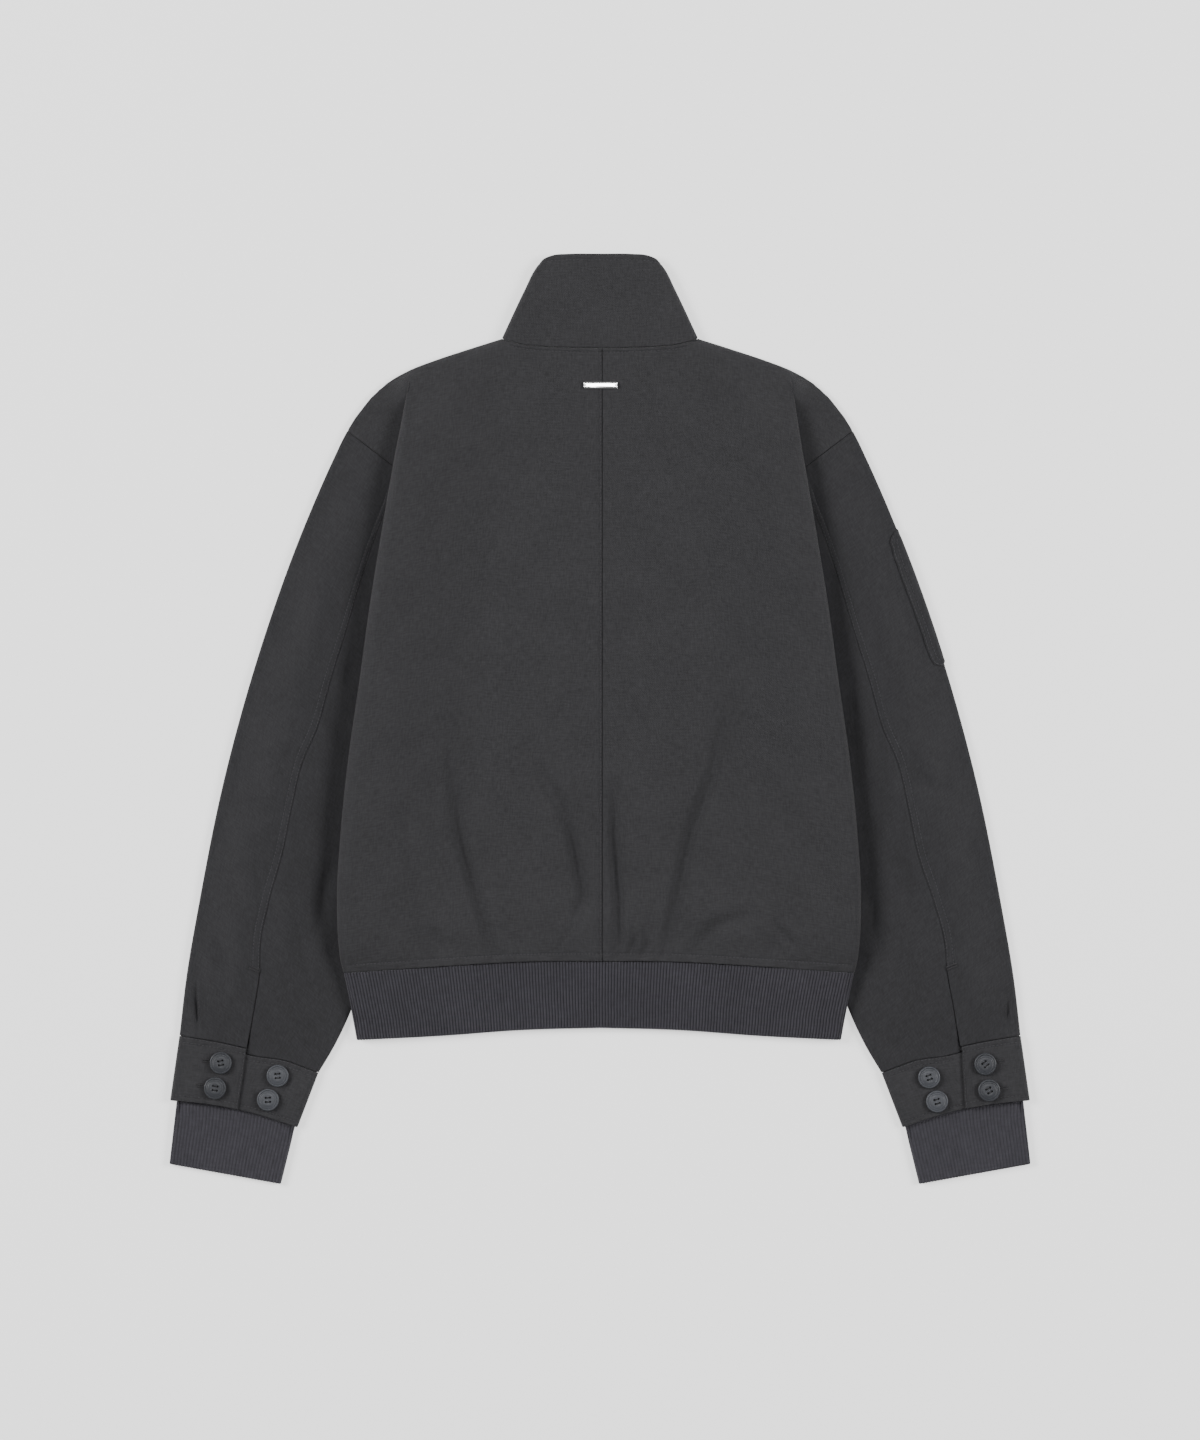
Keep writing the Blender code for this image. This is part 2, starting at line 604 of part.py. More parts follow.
def sleeve_width(down):
    inner, outer = sleeve_plan(down, np.zeros(np.shape(down))), sleeve_plan(down, 0 * down + 1.0)
    return np.hypot(outer[0] - inner[0], outer[1] - inner[1])


def sleeve_seam(down, side):
    return follow(ARM_SEAM, down) + SEAM_TURN[side] * ease((down - 0.6) / 0.35)


def sleeve_section(side, lift=0.0):
    """Points round the sleeve: ("top", from, to, share), ("outer"/"inner", angle) or ("base", u)."""
    radius = SLEEVE_FLAT / 2

    def place(column, down):
        kind = column[0]
        roll = radius / sleeve_width(down)
        seam = sleeve_seam(down, side)
        gap = SEAM_GAP / 2 / sleeve_width(down)
        if kind == "outer top":
            across = mix(seam + gap, 1 - roll, column[1])
        elif kind == "inner top":
            across = mix(roll, seam - gap, column[1])
        elif kind == "outer roll":
            reach = (radius + ROW_SLANT * lift) / radius * roll
            across = 1 - roll + reach * math.cos(math.radians(column[1]))
        elif kind == "inner roll":
            across = roll - roll * math.cos(math.radians(column[1]))
        elif kind == "corner base":
            across = mix(ARM_SEAM[0][1], 1 - roll, column[1])
        elif kind == "outer base":
            across = FRONT_SEAM + gap
        else:
            across = mix(roll, FRONT_SEAM - gap, column[1])
        x, y = sleeve_plan(down, across)
        if "roll" in kind:
            z = radius + (radius + lift) * math.sin(math.radians(column[1]))
        elif "top" in kind:
            z = sleeve_height(x, y, side) + lift
        else:
            z = 0.0
        return side * x, y, z
    return place


SLEEVE_ROWS = np.array((0.001, .04, .09, .15, .22, .3, .4, .5, .6, .7, .79, .87, .93, .975, .9993))
SLEEVE_ANGLES = (60, 20, -20, -60)
OUTER_TOP = (0, .12, .25, .4, .55, .7, .82, .92, 1)      # shares from the back seam outwards


def build_sleeve(name, side):
    outer = [("outer top", share) for share in OUTER_TOP]
    outer += [("outer roll", angle) for angle in SLEEVE_ANGLES]
    outer += [("corner base", share) for share in (1, .5, 0)] + [("outer base",)]
    inner = [("inner base", share) for share in (1, .5, 0)]
    inner += [("inner roll", angle) for angle in reversed(SLEEVE_ANGLES)]
    inner += [("inner top", share) for share in (0, .15, .3, .45, .6, .75, .88, 1)]
    section = sleeve_section(side)
    for part, columns in (("outer", outer), ("inner", inner)):
        points = table_of(columns, SLEEVE_ROWS, section)
        cloth(f"sleeve_{part}_{name}", points, TWILL, flip=side > 0)


def build_pocket():
    """A rounded patch on the right sleeve, from its edge on the back round the outer fold.

    Its points lie on the sleeve's own faces, moved out by the patch's wall and a small gap.
    """
    side = 1
    lift = POCKET_CLOTH + 2.4 * SEAM_GAP
    section = sleeve_section(side, lift)
    rows = np.array((.1635, .1655, .17, .178, .19, .26, .352, .366, .374, .38, .3845))

    def share_of(across, down):
        seam = sleeve_seam(down, side)
        return (across - seam) / (1 - SLEEVE_FLAT / 2 / sleeve_width(down) - seam)

    def on_faces(share, down):
        """The sleeve's outer side read along straight lines between its own rows."""
        made = [section(("outer top", share), SLEEVE_ROWS)[axis] for axis in range(3)]
        return [np.interp(down, SLEEVE_ROWS, values) for values in made]

    def place(column, down):
        if column[0] == "outer roll":
            made = section(column, SLEEVE_ROWS)
            flat = [np.broadcast_to(values, SLEEVE_ROWS.shape) for values in made]
            return [np.interp(down, SLEEVE_ROWS, values) for values in flat]
        edge = np.clip(share_of(straight(POCKET_EDGE, down), down), 0, 0.99)
        points = []
        for value, row in zip(np.maximum(edge, column[1]), down):
            low = max(share for share in OUTER_TOP if share <= value)
            high = min(share for share in OUTER_TOP if share >= value)
            t = 0 if high == low else (value - low) / (high - low)
            near, far = on_faces(low, row), on_faces(high, row)
            points.append([mix(a, b, t) for a, b in zip(near, far)])
        x, y, z = np.array(points, float).T
        return x, y, z

    columns = [("flat", share) for share in (0, .92, 1)]
    columns += [("outer roll", angle) for angle in SLEEVE_ANGLES[:3]]
    return cloth("sleeve_pocket", table_of(columns, rows, place), POCKET_CLOTH, flip=True)


# ---------------------------------------------------------------- cuffs

def cuff_plan(down, across, top, foot):
    """(x, y) on a cuff whose top and foot edges are given by their inner and outer corners."""
    top_x, top_y = line_between(top[0], top[1], across)
    foot_x, foot_y = line_between(foot[0], foot[1], across)
    return mix(top_x, foot_x, down), mix(top_y, foot_y, down) + CUFF_BOW * np.sin(np.pi * across)


def build_cuff(name, side):
    """One strip: from the overlap's end outwards, round under the arm and back beneath itself."""
    rows = np.array((0.006, 0.25, 0.5, 0.75, 1))
    at_top, at_foot = OVERLAP_END[side]
    width = 118

    def place(column, down):
        kind, value = column
        end = mix(at_top, at_foot, down)
        outer, inner = CUFF_EDGE_TOP / 2, UNDERLAP_TOP / 2
        dip = 0.0
        if kind == "over":
            across = mix(end, 1 - outer / width, value)
            z = mix(OVERLAP_TOP, CUFF_EDGE_TOP, ease((across - 0.8) / 0.16))
        elif kind == "outer":
            across = 1 - outer / width * (1 - math.cos(math.radians(value)))
            z = outer + outer * math.sin(math.radians(value))
        elif kind == "base":
            across, z = mix(inner / width, 1 - outer / width, value), 0.0
        elif kind == "inner":
            across = inner / width * (1 - math.cos(math.radians(value)))
            z = inner + inner * math.sin(math.radians(value))
        else:
            across = mix(inner / width, end + UNDERLAP_RUN, value)
            z = UNDERLAP_TOP
            dip = UNDERLAP_DIP * ease((across - 0.2) / 0.3) * (1 - down)
        x, y = cuff_plan(down, across, (CUFF_TOP_IN, CUFF_TOP_OUT), (CUFF_FOOT_IN, CUFF_FOOT_OUT))
        return side * x, y - dip, z

    columns = [("over", share) for share in (0, .35, .6, .75, .88, 1)]
    columns += [("outer", angle) for angle in (50, 10, -30, -60)]
    columns += [("base", share) for share in (1, .5, 0)]
    columns += [("inner", angle) for angle in (-60, -30, 10, 50)]
    columns += [("under", share) for share in (0, .3, .55, .7, .85, 1)]
    return cloth(f"cuff_{name}", table_of(columns, rows, place), CUFF_CLOTH, flip=side > 0)


def build_rib_cuff(name, side):
    rows = np.array((0, 0.5, 1))
    width = 104
    radius = CUFF_RIB_TOP / 2

    def section(inset):
        def place(column, down):
            kind, value, lift = column
            if kind == "top":
                across, z = mix(radius / width, 1 - radius / width, value), CUFF_RIB_TOP + lift
                z = z - inset
            elif kind == "base":
                across, z = mix(radius / width, 1 - radius / width, value), inset
            else:
                turn = math.radians(value)
                out = (radius - inset) * math.cos(turn) / width
                across = radius / width - out if kind == "inner" else 1 - radius / width + out
                z = radius + (radius - inset) * math.sin(turn)
            x, y = cuff_plan(down, across, (RIB_TOP_IN, RIB_TOP_OUT), (RIB_FOOT_IN, RIB_FOOT_OUT))
            bow = CUFF_BOW * np.sin(np.pi * across)
            return side * x, y - bow * down, z
        return place

    def columns(tops):
        made = tops + [("outer", angle, 0) for angle in (45, 0, -45)]
        made += [("base", share, 0) for share in (1, .5, 0)]
        return made + [("inner", angle, 0) for angle in (-45, 0, 45)]

    ribs = 2 * CUFF_RIBS
    ridged = [("top", i / ribs, RIDGE * (i % 2)) for i in range(ribs + 1)]
    plain = [("top", share, 0) for share in np.linspace(0, 1, 6)]
    outside = table_of(columns(ridged), rows, section(0))
    inside = table_of(columns(plain), rows, section(RIB_KNIT))
    return ribbed_band(f"rib_cuff_{name}", outside, inside, 0, len(columns([])), ring=True,
                       colour=RIB_COLOUR)


# ---------------------------------------------------------------- trim

def build_button(name, side, x, y, seat):
    """A turned button with a raised rim round a dished middle."""
    radius, height = BUTTON_WIDTH / 2, BUTTON_HEIGHT
    profile = ((0, 0), (0.8 * radius, 0), (radius, 0.45 * height), (0.93 * radius, height),
               (0.74 * radius, 0.95 * height), (0.6 * radius, 0.6 * height), (0, 0.6 * height))
    bm = bmesh.new()
    corners = [bm.verts.new((px, 0, pz)) for px, pz in profile]
    for a, b in zip(corners, corners[1:]):
        bm.edges.new((a, b))
    button = add_piece(name, bm, colour=(0.05, 0.055, 0.065), roughness=0.35, smooth=False)
    turn = button.modifiers.new("turn", "SCREW")
    turn.steps = turn.render_steps = 14
    turn.use_merge_vertices = True
    turn.merge_threshold = 0.00001
    turn.use_normal_calculate = True
    button.location = (side * x * MM, y * MM, (seat + SEAM_GAP) * MM)
    return button


def build_neck_bar():
    """A small bar of polished metal across the centre seam, below the collar."""
    bm = bmesh.new()
    bmesh.ops.create_cube(bm, size=1)
    bmesh.ops.scale(bm, vec=(BAR_LENGTH, BAR_WIDTH, BAR_THICK), verts=bm.verts)
    lift = CROWN + SEAM_GAP + BAR_THICK / 2
    bmesh.ops.translate(bm, vec=(BAR_AT[0], BAR_AT[1], lift), verts=bm.verts)
    bar = add_piece("neck_bar", bm, colour=(0.8, 0.8, 0.8), roughness=0.15, metallic=1.0)
    edge = bar.modifiers.new("edge", "BEVEL")
    edge.width = 0.35 * MM
    edge.segments = 1
    return bar


for old in list(bpy.data.objects):
    bpy.data.objects.remove(old, do_unlink=True)
jacket = bpy.data.collections.new("bomber_jacket")
bpy.context.scene.collection.children.link(jacket)

for side_name, sign in (("left", -1), ("right", 1)):
    build_back(f"back_{side_name}", sign)
    build_front(f"front_{side_name}", sign)
    build_sleeve(side_name, sign)
    build_cuff(side_name, sign)
    build_rib_cuff(side_name, sign)
build_zip()
build_hem()
build_collar()
build_pocket()
for number, (sign, button_x, button_y, seat_height) in enumerate(BUTTONS, start=1):
    build_button(f"button_{number}", sign, button_x, button_y, seat_height)
build_neck_bar()
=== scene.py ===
"""The looks of a bomber jacket of dark cotton twill, laid flat on its front with its back upwards.

Sizes are in millimetres, with X across, Y from the hem to the collar and Z up, and become metres
where a mesh is made. Every cloth piece is the outer side of its cloth, as a table of points
(columns, rows, 3), which Solidify gives its wall inwards.
"""
import math

import bmesh
import bpy
import numpy as np
from mathutils import Matrix


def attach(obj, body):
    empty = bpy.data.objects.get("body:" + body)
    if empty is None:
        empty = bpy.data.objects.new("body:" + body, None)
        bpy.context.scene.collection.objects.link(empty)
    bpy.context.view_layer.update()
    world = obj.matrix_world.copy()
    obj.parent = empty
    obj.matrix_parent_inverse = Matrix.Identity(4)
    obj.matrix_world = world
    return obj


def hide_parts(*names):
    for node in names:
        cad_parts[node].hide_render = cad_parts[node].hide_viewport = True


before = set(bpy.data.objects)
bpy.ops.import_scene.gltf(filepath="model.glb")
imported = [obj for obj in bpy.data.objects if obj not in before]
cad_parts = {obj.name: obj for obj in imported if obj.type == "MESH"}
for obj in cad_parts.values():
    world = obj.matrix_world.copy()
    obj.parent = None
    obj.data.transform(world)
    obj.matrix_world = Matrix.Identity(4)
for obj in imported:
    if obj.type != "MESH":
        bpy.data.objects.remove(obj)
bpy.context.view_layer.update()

MM = 0.001

# --- cloth ---
TWILL = 1.4                 # wall of the body and the sleeves
CUFF_CLOTH = 1.8
COLLAR_CLOTH = 2.4
RIB_KNIT = 1.6
SEAM_GAP = 0.3
CENTRE_SEAM = 1.8           # the centre-back seam lies a little to the right of the middle
EDGE_LEAN = 0.9             # the right side edge lies this far in, the left one this far out
SIDE_SEAM_IN = 10.5         # the side seam lies this far in from the side edge, underneath

# --- layers, counted up from the surface ---
OVER_SLEEVE = 5.8
SLEEVE_FLAT = 4.8
CROWN = 8.6
BLOUSE = 3.4
EDGE_RISE = 96
SHOULDER_LIP = 3.6
COLLAR_TOP_Z = 8.8
COLLAR_HEIGHT = 80.0
HEM_DEPTH = 58.0
SLEEVE_LENGTH = 355          # from the armhole to the cuff

# --- outlines: tables with named columns ---
BODY_EDGE = (               # y, x of the body's rolled side edge, down to the hem's foot
    (-276, 208.1), (-252, 212.4), (-224, 217.8), (-207, 222.0), (-185, 224.2), (-150, 224.9),
    (-104, 222.3), (-35, 215.3), (34, 205.5), (102, 196.1), (171, 184.9), (223, 176.0),
    (274, 167.0), (300, 163.0), (330, 163.0))
EDGE_TOP = (                # y, height of the back along its side edge
    (-218, 13.9), (-200, 19.5), (-170, 23.4), (-60, 25.4), (100, 24.8), (217, 20.0),
    (268, 14.6), (282, 11.8), (300, 7.5))
SLEEVE_OUTLINE = (          # y, x of the sleeve's outer fold and, above the armhole, the shoulder
    (-272, 361.5), (-224, 355.9), (-156, 344.3), (-52, 323.2), (16, 305.3), (85, 283.9),
    (154, 258.9), (188, 244.9), (222, 229.8), (247.7, 217.2), (257, 211.6), (274, 198.9),
    (291, 179.8), (300, 163.0))
SLEEVE_FOLD = (             # y, x of the sleeve's inner fold, under the body down to the hem
    (-304, 242.0), (-283, 229.4), (-248, 213.0), (-180, 195.0), (-120, 181.0), (-60, 170.0),
    (0, 160.0), (60, 150.0))
SHOULDER = ((84.3, 326.8), (114.4, 317.3), (140.5, 308.7), (163, 300.0), (179.1, 291.5),
            (190.3, 282.9), (198.7, 274.3), (211.6, 257.1), (217.2, 247.7))   # x, y
NECK_SEAM = ((0, 318.6), (24, 318.8), (40, 319.4), (52, 320.0), (63.6, 321.1), (74, 323.3),
             (84.3, 326.8))                                                   # x, y
HEM_SEAM = ((0, -208.1), (60, -208.4), (100, -210.2), (150, -213.3), (222, -218.0))
HEM_FOOT = ((0, -265.7), (65, -267.5), (138, -272.6), (208, -276.0))
COLLAR_TOP = ((0, 399.8), (27.6, 399.6), (40, 398.6), (48.6, 395.6))
COLLAR_SIDE = ((0, 84.3), (0.3, 74.8), (0.6, 65.0), (0.9, 54.2), (1, 48.6))   # up it, x
ARMPIT = (150.0, 60.0)
ARM_CORNER = (170.0, 212.0)
ARM_TOP = (217.2, 247.7)
NECK_CORNER_X = 84.3
SHOULDER_FOLD_X = 163.0
FOLD_END = 290.0
OPEN_FRONT = 5.0

# --- folds: depth, half width and points (x, y) of each soft trough ---
BACK_FOLDS = (
    (3.2, 9, ((-131, -22), (-125, -70), (-118, -112), (-103, -152), (-94, -194))),
    (3.4, 9, ((-60, -27), (-41, -61), (-26, -86), (-20, -125), (-14, -157), (-34, -180))),
    (3.4, 8, ((11, -60), (13, -114), (17, -161), (12, -198))),
    (3.4, 11, ((135, 120), (116, 34), (94, -53), (73, -105), (58, -188))),
    (2.6, 9, ((82, -199), (103, -177), (134, -168))),
    (3.4, 11, ((138, -190), (152, -196), (168, -203))),
    (2.4, 10, ((-190, -182), (-150, -190), (-118, -196))),
)
BACK_CREASES = (
    (3.2, 3.5, ((-129, -30), (-122, -96), (-110, -142), (-97, -185), (-88, -212))),
    (3.0, 3.5, ((-52, -42), (-34, -75), (-23, -108), (-15, -150), (-22, -176), (-34, -196))),
    (2.8, 3.2, ((14, -52), (11, -98), (15, -152), (17, -188), (12, -214))),
    (3.4, 4.0, ((114, 18), (96, -50), (77, -98), (66, -150), (58, -192), (55, -214))),
    (2.6, 3.0, ((26, -176), (29, -190), (25, -203))),
    (2.4, 3.0, ((38, -180), (40, -192), (37, -204))),
    (2.0, 5.0, ((83, -196), (100, -178), (130, -169))),
    (2.6, 3.5, ((148, -176), (160, -186), (170, -197))),
    (1.5, 4.0, ((-70, -186), (-66, -198), (-69, -206))),
    (1.5, 4.0, ((-150, -176), (-139, -190), (-137, -202))),
    (1.5, 6.0, ((-176, -60), (-160, -120), (-150, -165))),
    (1.4, 7.0, ((178, -40), (168, -100), (160, -150))),
)
SLEEVE_CREASES = {          # |x|, y
    -1: ((2.2, 6, ((271, -150), (258, -180), (250, -209))),
         (1.7, 6, ((232, -128), (239, -156), (242, -186))),
         (1.7, 9, ((303, -20), (276, -35), (244, -40))),
         (1.5, 8, ((311, -70), (280, -83), (256, -106))),
         (1.2, 7, ((262, 18), (236, -2), (222, -8))),
         (1.4, 8, ((296, -118), (283, -146), (280, -176))),
         (1.2, 8, ((240, 150), (228, 112), (224, 70))),
         (1.4, 7, ((330, -180), (321, -206), (322, -236))),
         (3.2, 1.5, ((348, -229), (346.5, -252), (344.5, -284)))),
    1: ((2.0, 6, ((237, 8), (240, -46), (243, -102))),
        (1.5, 8, ((262, -44), (284, -60), (306, -64))),
        (1.9, 7, ((250, -112), (263, -147), (270, -186))),
        (1.4, 8, ((312, -104), (330, -130), (334, -160))),
        (1.5, 6, ((232, -156), (240, -190), (246, -214))),
        (1.2, 8, ((236, 150), (228, 110), (226, 60))),
        (1.2, 7, ((276, -170), (284, -196), (286, -226))),
        (3.1, 1.5, ((351, -240), (350.5, -258), (350, -280))),
        (1.7, 2.6, ((352, -249), (344, -262), (334.5, -277)))),
}

# --- sleeves ---
SLEEVE_DOME = ((-300, 2.0), (-272, 3.2), (-235, 7.0), (-150, 9.0), (0, 9.6), (150, 8.0),
               (220, 6.0), (260, 3.5), (300, 1.0))                            # y, rise
DOME_RUN = 46
ARM_SEAM = ((0, 0.721), (0.1, 0.652), (0.2, 0.592), (0.3, 0.572), (0.38, 0.565), (0.46, 0.598),
            (0.55, 0.594), (0.63, 0.587), (0.72, 0.605), (0.8, 0.604), (0.85, 0.572), (0.92, 0.546),
            (1, 0.515))                                                       # down it, across
FRONT_SEAM = 0.42
SEAM_TURN = {-1: 0.0, 1: 0.05}
CUFF_BOW = 4.5
VENT_TOP = {-1: -211.0, 1: -209.5}  # y of the bar tack where the cuff's slit begins

# --- cuffs: corners (x, y) and overlap ---
CUFF_TOP_OUT, CUFF_TOP_IN = (361.5, -272.0), (242.0, -304.0)
CUFF_FOOT_OUT, CUFF_FOOT_IN = (369.5, -327.7), (260.0, -351.0)
CUFF_WIDTH, CUFF_DEPTH = 118, 57.0
OVERLAP_END = {-1: (0.515, 0.468), 1: (0.575, 0.492)}
UNDERLAP_RUN = 0.2
UNDERLAP_DIP = 5.0
UNDERLAP_TOP, OVERLAP_TOP, CUFF_EDGE_TOP = 6.0, 8.2, 6.8
RIB_TOP_OUT, RIB_TOP_IN = (364.2, -329.2), (262.2, -350.9)
RIB_FOOT_OUT, RIB_FOOT_IN = (370.3, -382.5), (274.3, -399.9)
RIB_CUFF_WIDTH, RIB_CUFF_DEPTH = 104, 52.0
RIB_CUFF_TOP = 5.4
HEM_TOP, HEM_SIDE_TOP, HEM_FOOT_TOP = 7.6, 14.0, 8.6
HEM_RIB_PITCH, CUFF_RIB_PITCH = 2.65, 3.0
RIB_DEPTH, CUFF_RIB_DEPTH = 0.9, 0.55
POINTS_A_RIB = 6

# --- trim ---
BUTTON_WIDTH, BUTTON_HEIGHT = 19.0, 3.0
BUTTONS = (                 # side, x, y, top of the cuff there, turn of its holes in degrees
    (-1, 325.6, -295.3, OVERLAP_TOP, 12), (-1, 330.5, -317.0, OVERLAP_TOP, -8),
    (-1, 276.9, -306.5, UNDERLAP_TOP, 4), (-1, 285.2, -327.1, UNDERLAP_TOP, 2),
    (1, 330.8, -296.3, OVERLAP_TOP, 38), (1, 334.1, -318.8, OVERLAP_TOP, 28),
    (1, 282.7, -307.8, UNDERLAP_TOP, 20), (1, 289.5, -328.5, UNDERLAP_TOP, 17))
HOLES_APART, HOLE_RADIUS = 1.8, 0.95       # from the button's middle, across and along
BUTTONHOLE_REACH = 20.0     # from the button's middle, away from the overlap's end
BAR_LENGTH, BAR_WIDTH, BAR_THICK, BAR_AT = 28.8, 5.7, 1.6, (0.5, 286.7)
TAPE_LIFT, TAPE_CLOTH = 0.4, 0.6
TOOTH_PITCH, TOOTH_SIZE = 2.2, (1.5, 4.6, 1.0)
POCKET_EDGE = (             # down the sleeve, across: the pocket's edge on the back of the sleeve
    (0.162, 0.985), (0.166, 0.957), (0.178, 0.943), (0.21, 0.934), (0.26, 0.932), (0.32, 0.934),
    (0.354, 0.935), (0.374, 0.95), (0.386, 0.985))
POCKET_CLOTH, POCKET_LIFT = 1.2, 0.35

# --- seams: distances from a seam or an edge ---
EDGE_STITCH = 1.3           # a row close to the edge
HEM_STITCH = 6.4            # the row above the hem rib
NECK_STITCH = 3.3           # the row below the collar
SECOND_STITCH = 6.4         # the second row beside a double-stitched seam
CUFF_STITCH = 5.2
COLLAR_STITCH = 5.5
POCKET_STITCH = 5.2
STITCH_PITCH, STITCH_LENGTH, THREAD = 3.1, 2.5, 0.55

# --- colours, as linear values ---
TWILL_COLOUR = (0.0342, 0.0336, 0.0362)
SLEEVE_SHADED_COLOUR = (0.0305, 0.0300, 0.0326)    # painted shade: the body's twill made darker on the sleeves
RIB_COLOUR = (0.0450, 0.0430, 0.0515)
THREAD_COLOUR = (0.050, 0.049, 0.054)
TACK_COLOUR = (0.036, 0.035, 0.038)
LIT_BUTTON_COLOUR = (0.053, 0.056, 0.065)          # painted light: the button plastic made lighter on the underlaps
SHADED_BUTTON_COLOUR = (0.033, 0.035, 0.041)         # painted shade: the same plastic made darker on the overlaps
TAPE_COLOUR = (0.018, 0.018, 0.020)

# --- stage: metres and watts, except where millimetres are named ---
SOFTBOXES = (               # name, x, y, z, size, power
    ("left_softbox", -4.0, 1.2, 3.0, 2.0, 238),
    ("right_softbox", 4.0, 0.6, 3.0, 2.0, 195),
    ("top_softbox", 0.0, 0.62, 7.0, 1.2, 72))
SKY_STRENGTH = 0.22
FLOOR_REACH = 4
FLOOR_DROP = 0.6            # millimetres below the jacket
PIXEL = 0.86                # millimetres
IMAGE_SIZE = (1200, 1440)
JACKET_MIDDLE = (600, 719)  # in the image, counted from its upper left
CAMERA_HEIGHT = 6.0
SENSOR = 36


# ---------------------------------------------------------------- curves and softness

def follow(table, at):
    """A smooth curve through a table's (key, value) rows, level past its ends."""
    keys, values = np.array(table, float).T
    at = np.clip(np.asarray(at, float), keys[0], keys[-1])
    slopes = np.gradient(values, keys)
    i = np.clip(np.searchsorted(keys, at, side="right") - 1, 0, len(keys) - 2)
    step = keys[i + 1] - keys[i]
    t = (at - keys[i]) / step
    return ((1 + 2 * t) * (1 - t) ** 2 * values[i] + t * (1 - t) ** 2 * step * slopes[i]
            + t * t * (3 - 2 * t) * values[i + 1] + t * t * (t - 1) * step * slopes[i + 1])


def straight(table, at):
    """The same table, read along straight lines."""
    keys, values = np.array(table, float).T
    return np.interp(at, keys, values)


def ease(t):
    """0 below 0, 1 above 1 and a soft step between."""
    t = np.clip(t, 0, 1)
    return t * t * (3 - 2 * t)


def quarter(t):
    """The rise of a quarter round: 0 at 0, level at 1 and past it."""
    return np.sqrt(1 - (1 - np.clip(t, 0, 1)) ** 2)


def mix(a, b, t):
    return a + (b - a) * t


def line_between(a, b, t):
    """The point (x, y) a share t of the way from a to b."""
    return mix(a[0], b[0], t), mix(a[1], b[1], t)


def finer(values, step):
    """The same run of values with none further than step from the next."""
    made = [values[0]]
    for a, b in zip(values, values[1:]):
        parts = max(1, math.ceil(abs(b - a) / step - 1e-9))
        made += [mix(a, b, i / parts) for i in range(1, parts + 1)]
    return np.array(made, float)


def distance_to_path(x, y, points):
    """How far each (x, y) is from a path, and how far along the path it is, from 0 to 1."""
    nearest = np.full(np.shape(x), 1e9)
    along = np.zeros(np.shape(x))
    legs = len(points) - 1
    for leg in range(legs):
        (ax, ay), (bx, by) = points[leg], points[leg + 1]
        length2 = (bx - ax) ** 2 + (by - ay) ** 2
        t = np.clip(((x - ax) * (bx - ax) + (y - ay) * (by - ay)) / length2, 0, 1)
        far = np.hypot(x - mix(ax, bx, t), y - mix(ay, by, t))
        closer = far < nearest
        nearest = np.where(closer, far, nearest)
        along = np.where(closer, (leg + t) / legs, along)
    return nearest, along


def troughs(x, y, creases, lip=0.3):
    """Depth of soft troughs, each with a low lip beside it, that run out at their ends."""
    depth = np.zeros(np.shape(x))
    for most, half_width, points in creases:
        far, along = distance_to_path(x, y, points)
        across = far / half_width
        profile = np.exp(-across ** 2) - lip * np.exp(-(across - 2) ** 2)
        depth = depth + most * profile * np.sin(np.pi * mix(0.12, 0.88, along))
    return depth


def swell(x, y, size, seed):
    """Soft unevenness from -1 to 1, in swells about size wide."""
    cells = 32
    heights = np.random.default_rng(seed).uniform(-1, 1, (cells, cells))
    column, row = np.floor(x / size).astype(int), np.floor(y / size).astype(int)
    s, t = ease(x / size - column), ease(y / size - row)
    corner = [[heights[(column + i) % cells, (row + j) % cells] for j in (0, 1)] for i in (0, 1)]
    return mix(mix(corner[0][0], corner[1][0], s), mix(corner[0][1], corner[1][1], s), t)


def turned_in(distance, radius):
    """How far a rounded edge drops at a distance from it."""
    return radius * (1 - quarter(distance / radius))


def groove(distance, at, half_width=0.9):
    return np.exp(-((distance - at) / half_width) ** 2)


# ---------------------------------------------------------------- the jacket's form

def body_edge(y, side):
    return follow(BODY_EDGE, y) - side * EDGE_LEAN * ease((280 - y) / 60)


def edge_top(y):
    return mix(SHOULDER_LIP, follow(EDGE_TOP, y), quarter((SHOULDER[3][1] - y) / 12))


def fold_bottom(y):
    """Underside of the roll at the side edge, which closes up towards the shoulder."""
    return mix(OVER_SLEEVE, edge_top(y) - 0.6, ease((y - 248) / 40))


def edge_radius(y):
    """Radius of the roll at the side edge, which runs out just below the shoulder."""
    return np.where(y < FOLD_END, (edge_top(y) - fold_bottom(y)) / 2, 0)


def shoulder_line(x):
    """y of the jacket's upper edge: the neck seam, then the shoulder."""
    return np.where(x < NECK_CORNER_X, follow(NECK_SEAM, x), follow(SHOULDER, x))


def back_form(x, y, side):
    """Top of the back at |x|, y without its fine relief."""
    start = body_edge(y, side) - edge_radius(y)
    rise = ease((x - (start - EDGE_RISE)) / EDGE_RISE)
    bag = BLOUSE * np.exp(-((y + 178) / 30) ** 2) * (1 - rise)
    beside_seam = ease((np.abs(x - side * CENTRE_SEAM) - 1.6) / 8)
    dip = troughs(x * side, y, BACK_FOLDS, lip=0.15) * (1 - rise) * beside_seam
    height = mix(CROWN + bag - dip, follow(EDGE_TOP, y), rise)
    below_shoulder = quarter((shoulder_line(x) - y) / 12)
    drop = ease((x - (NECK_CORNER_X - 12)) / 12)
    return mix(height, mix(SHOULDER_LIP, height, below_shoulder), drop)


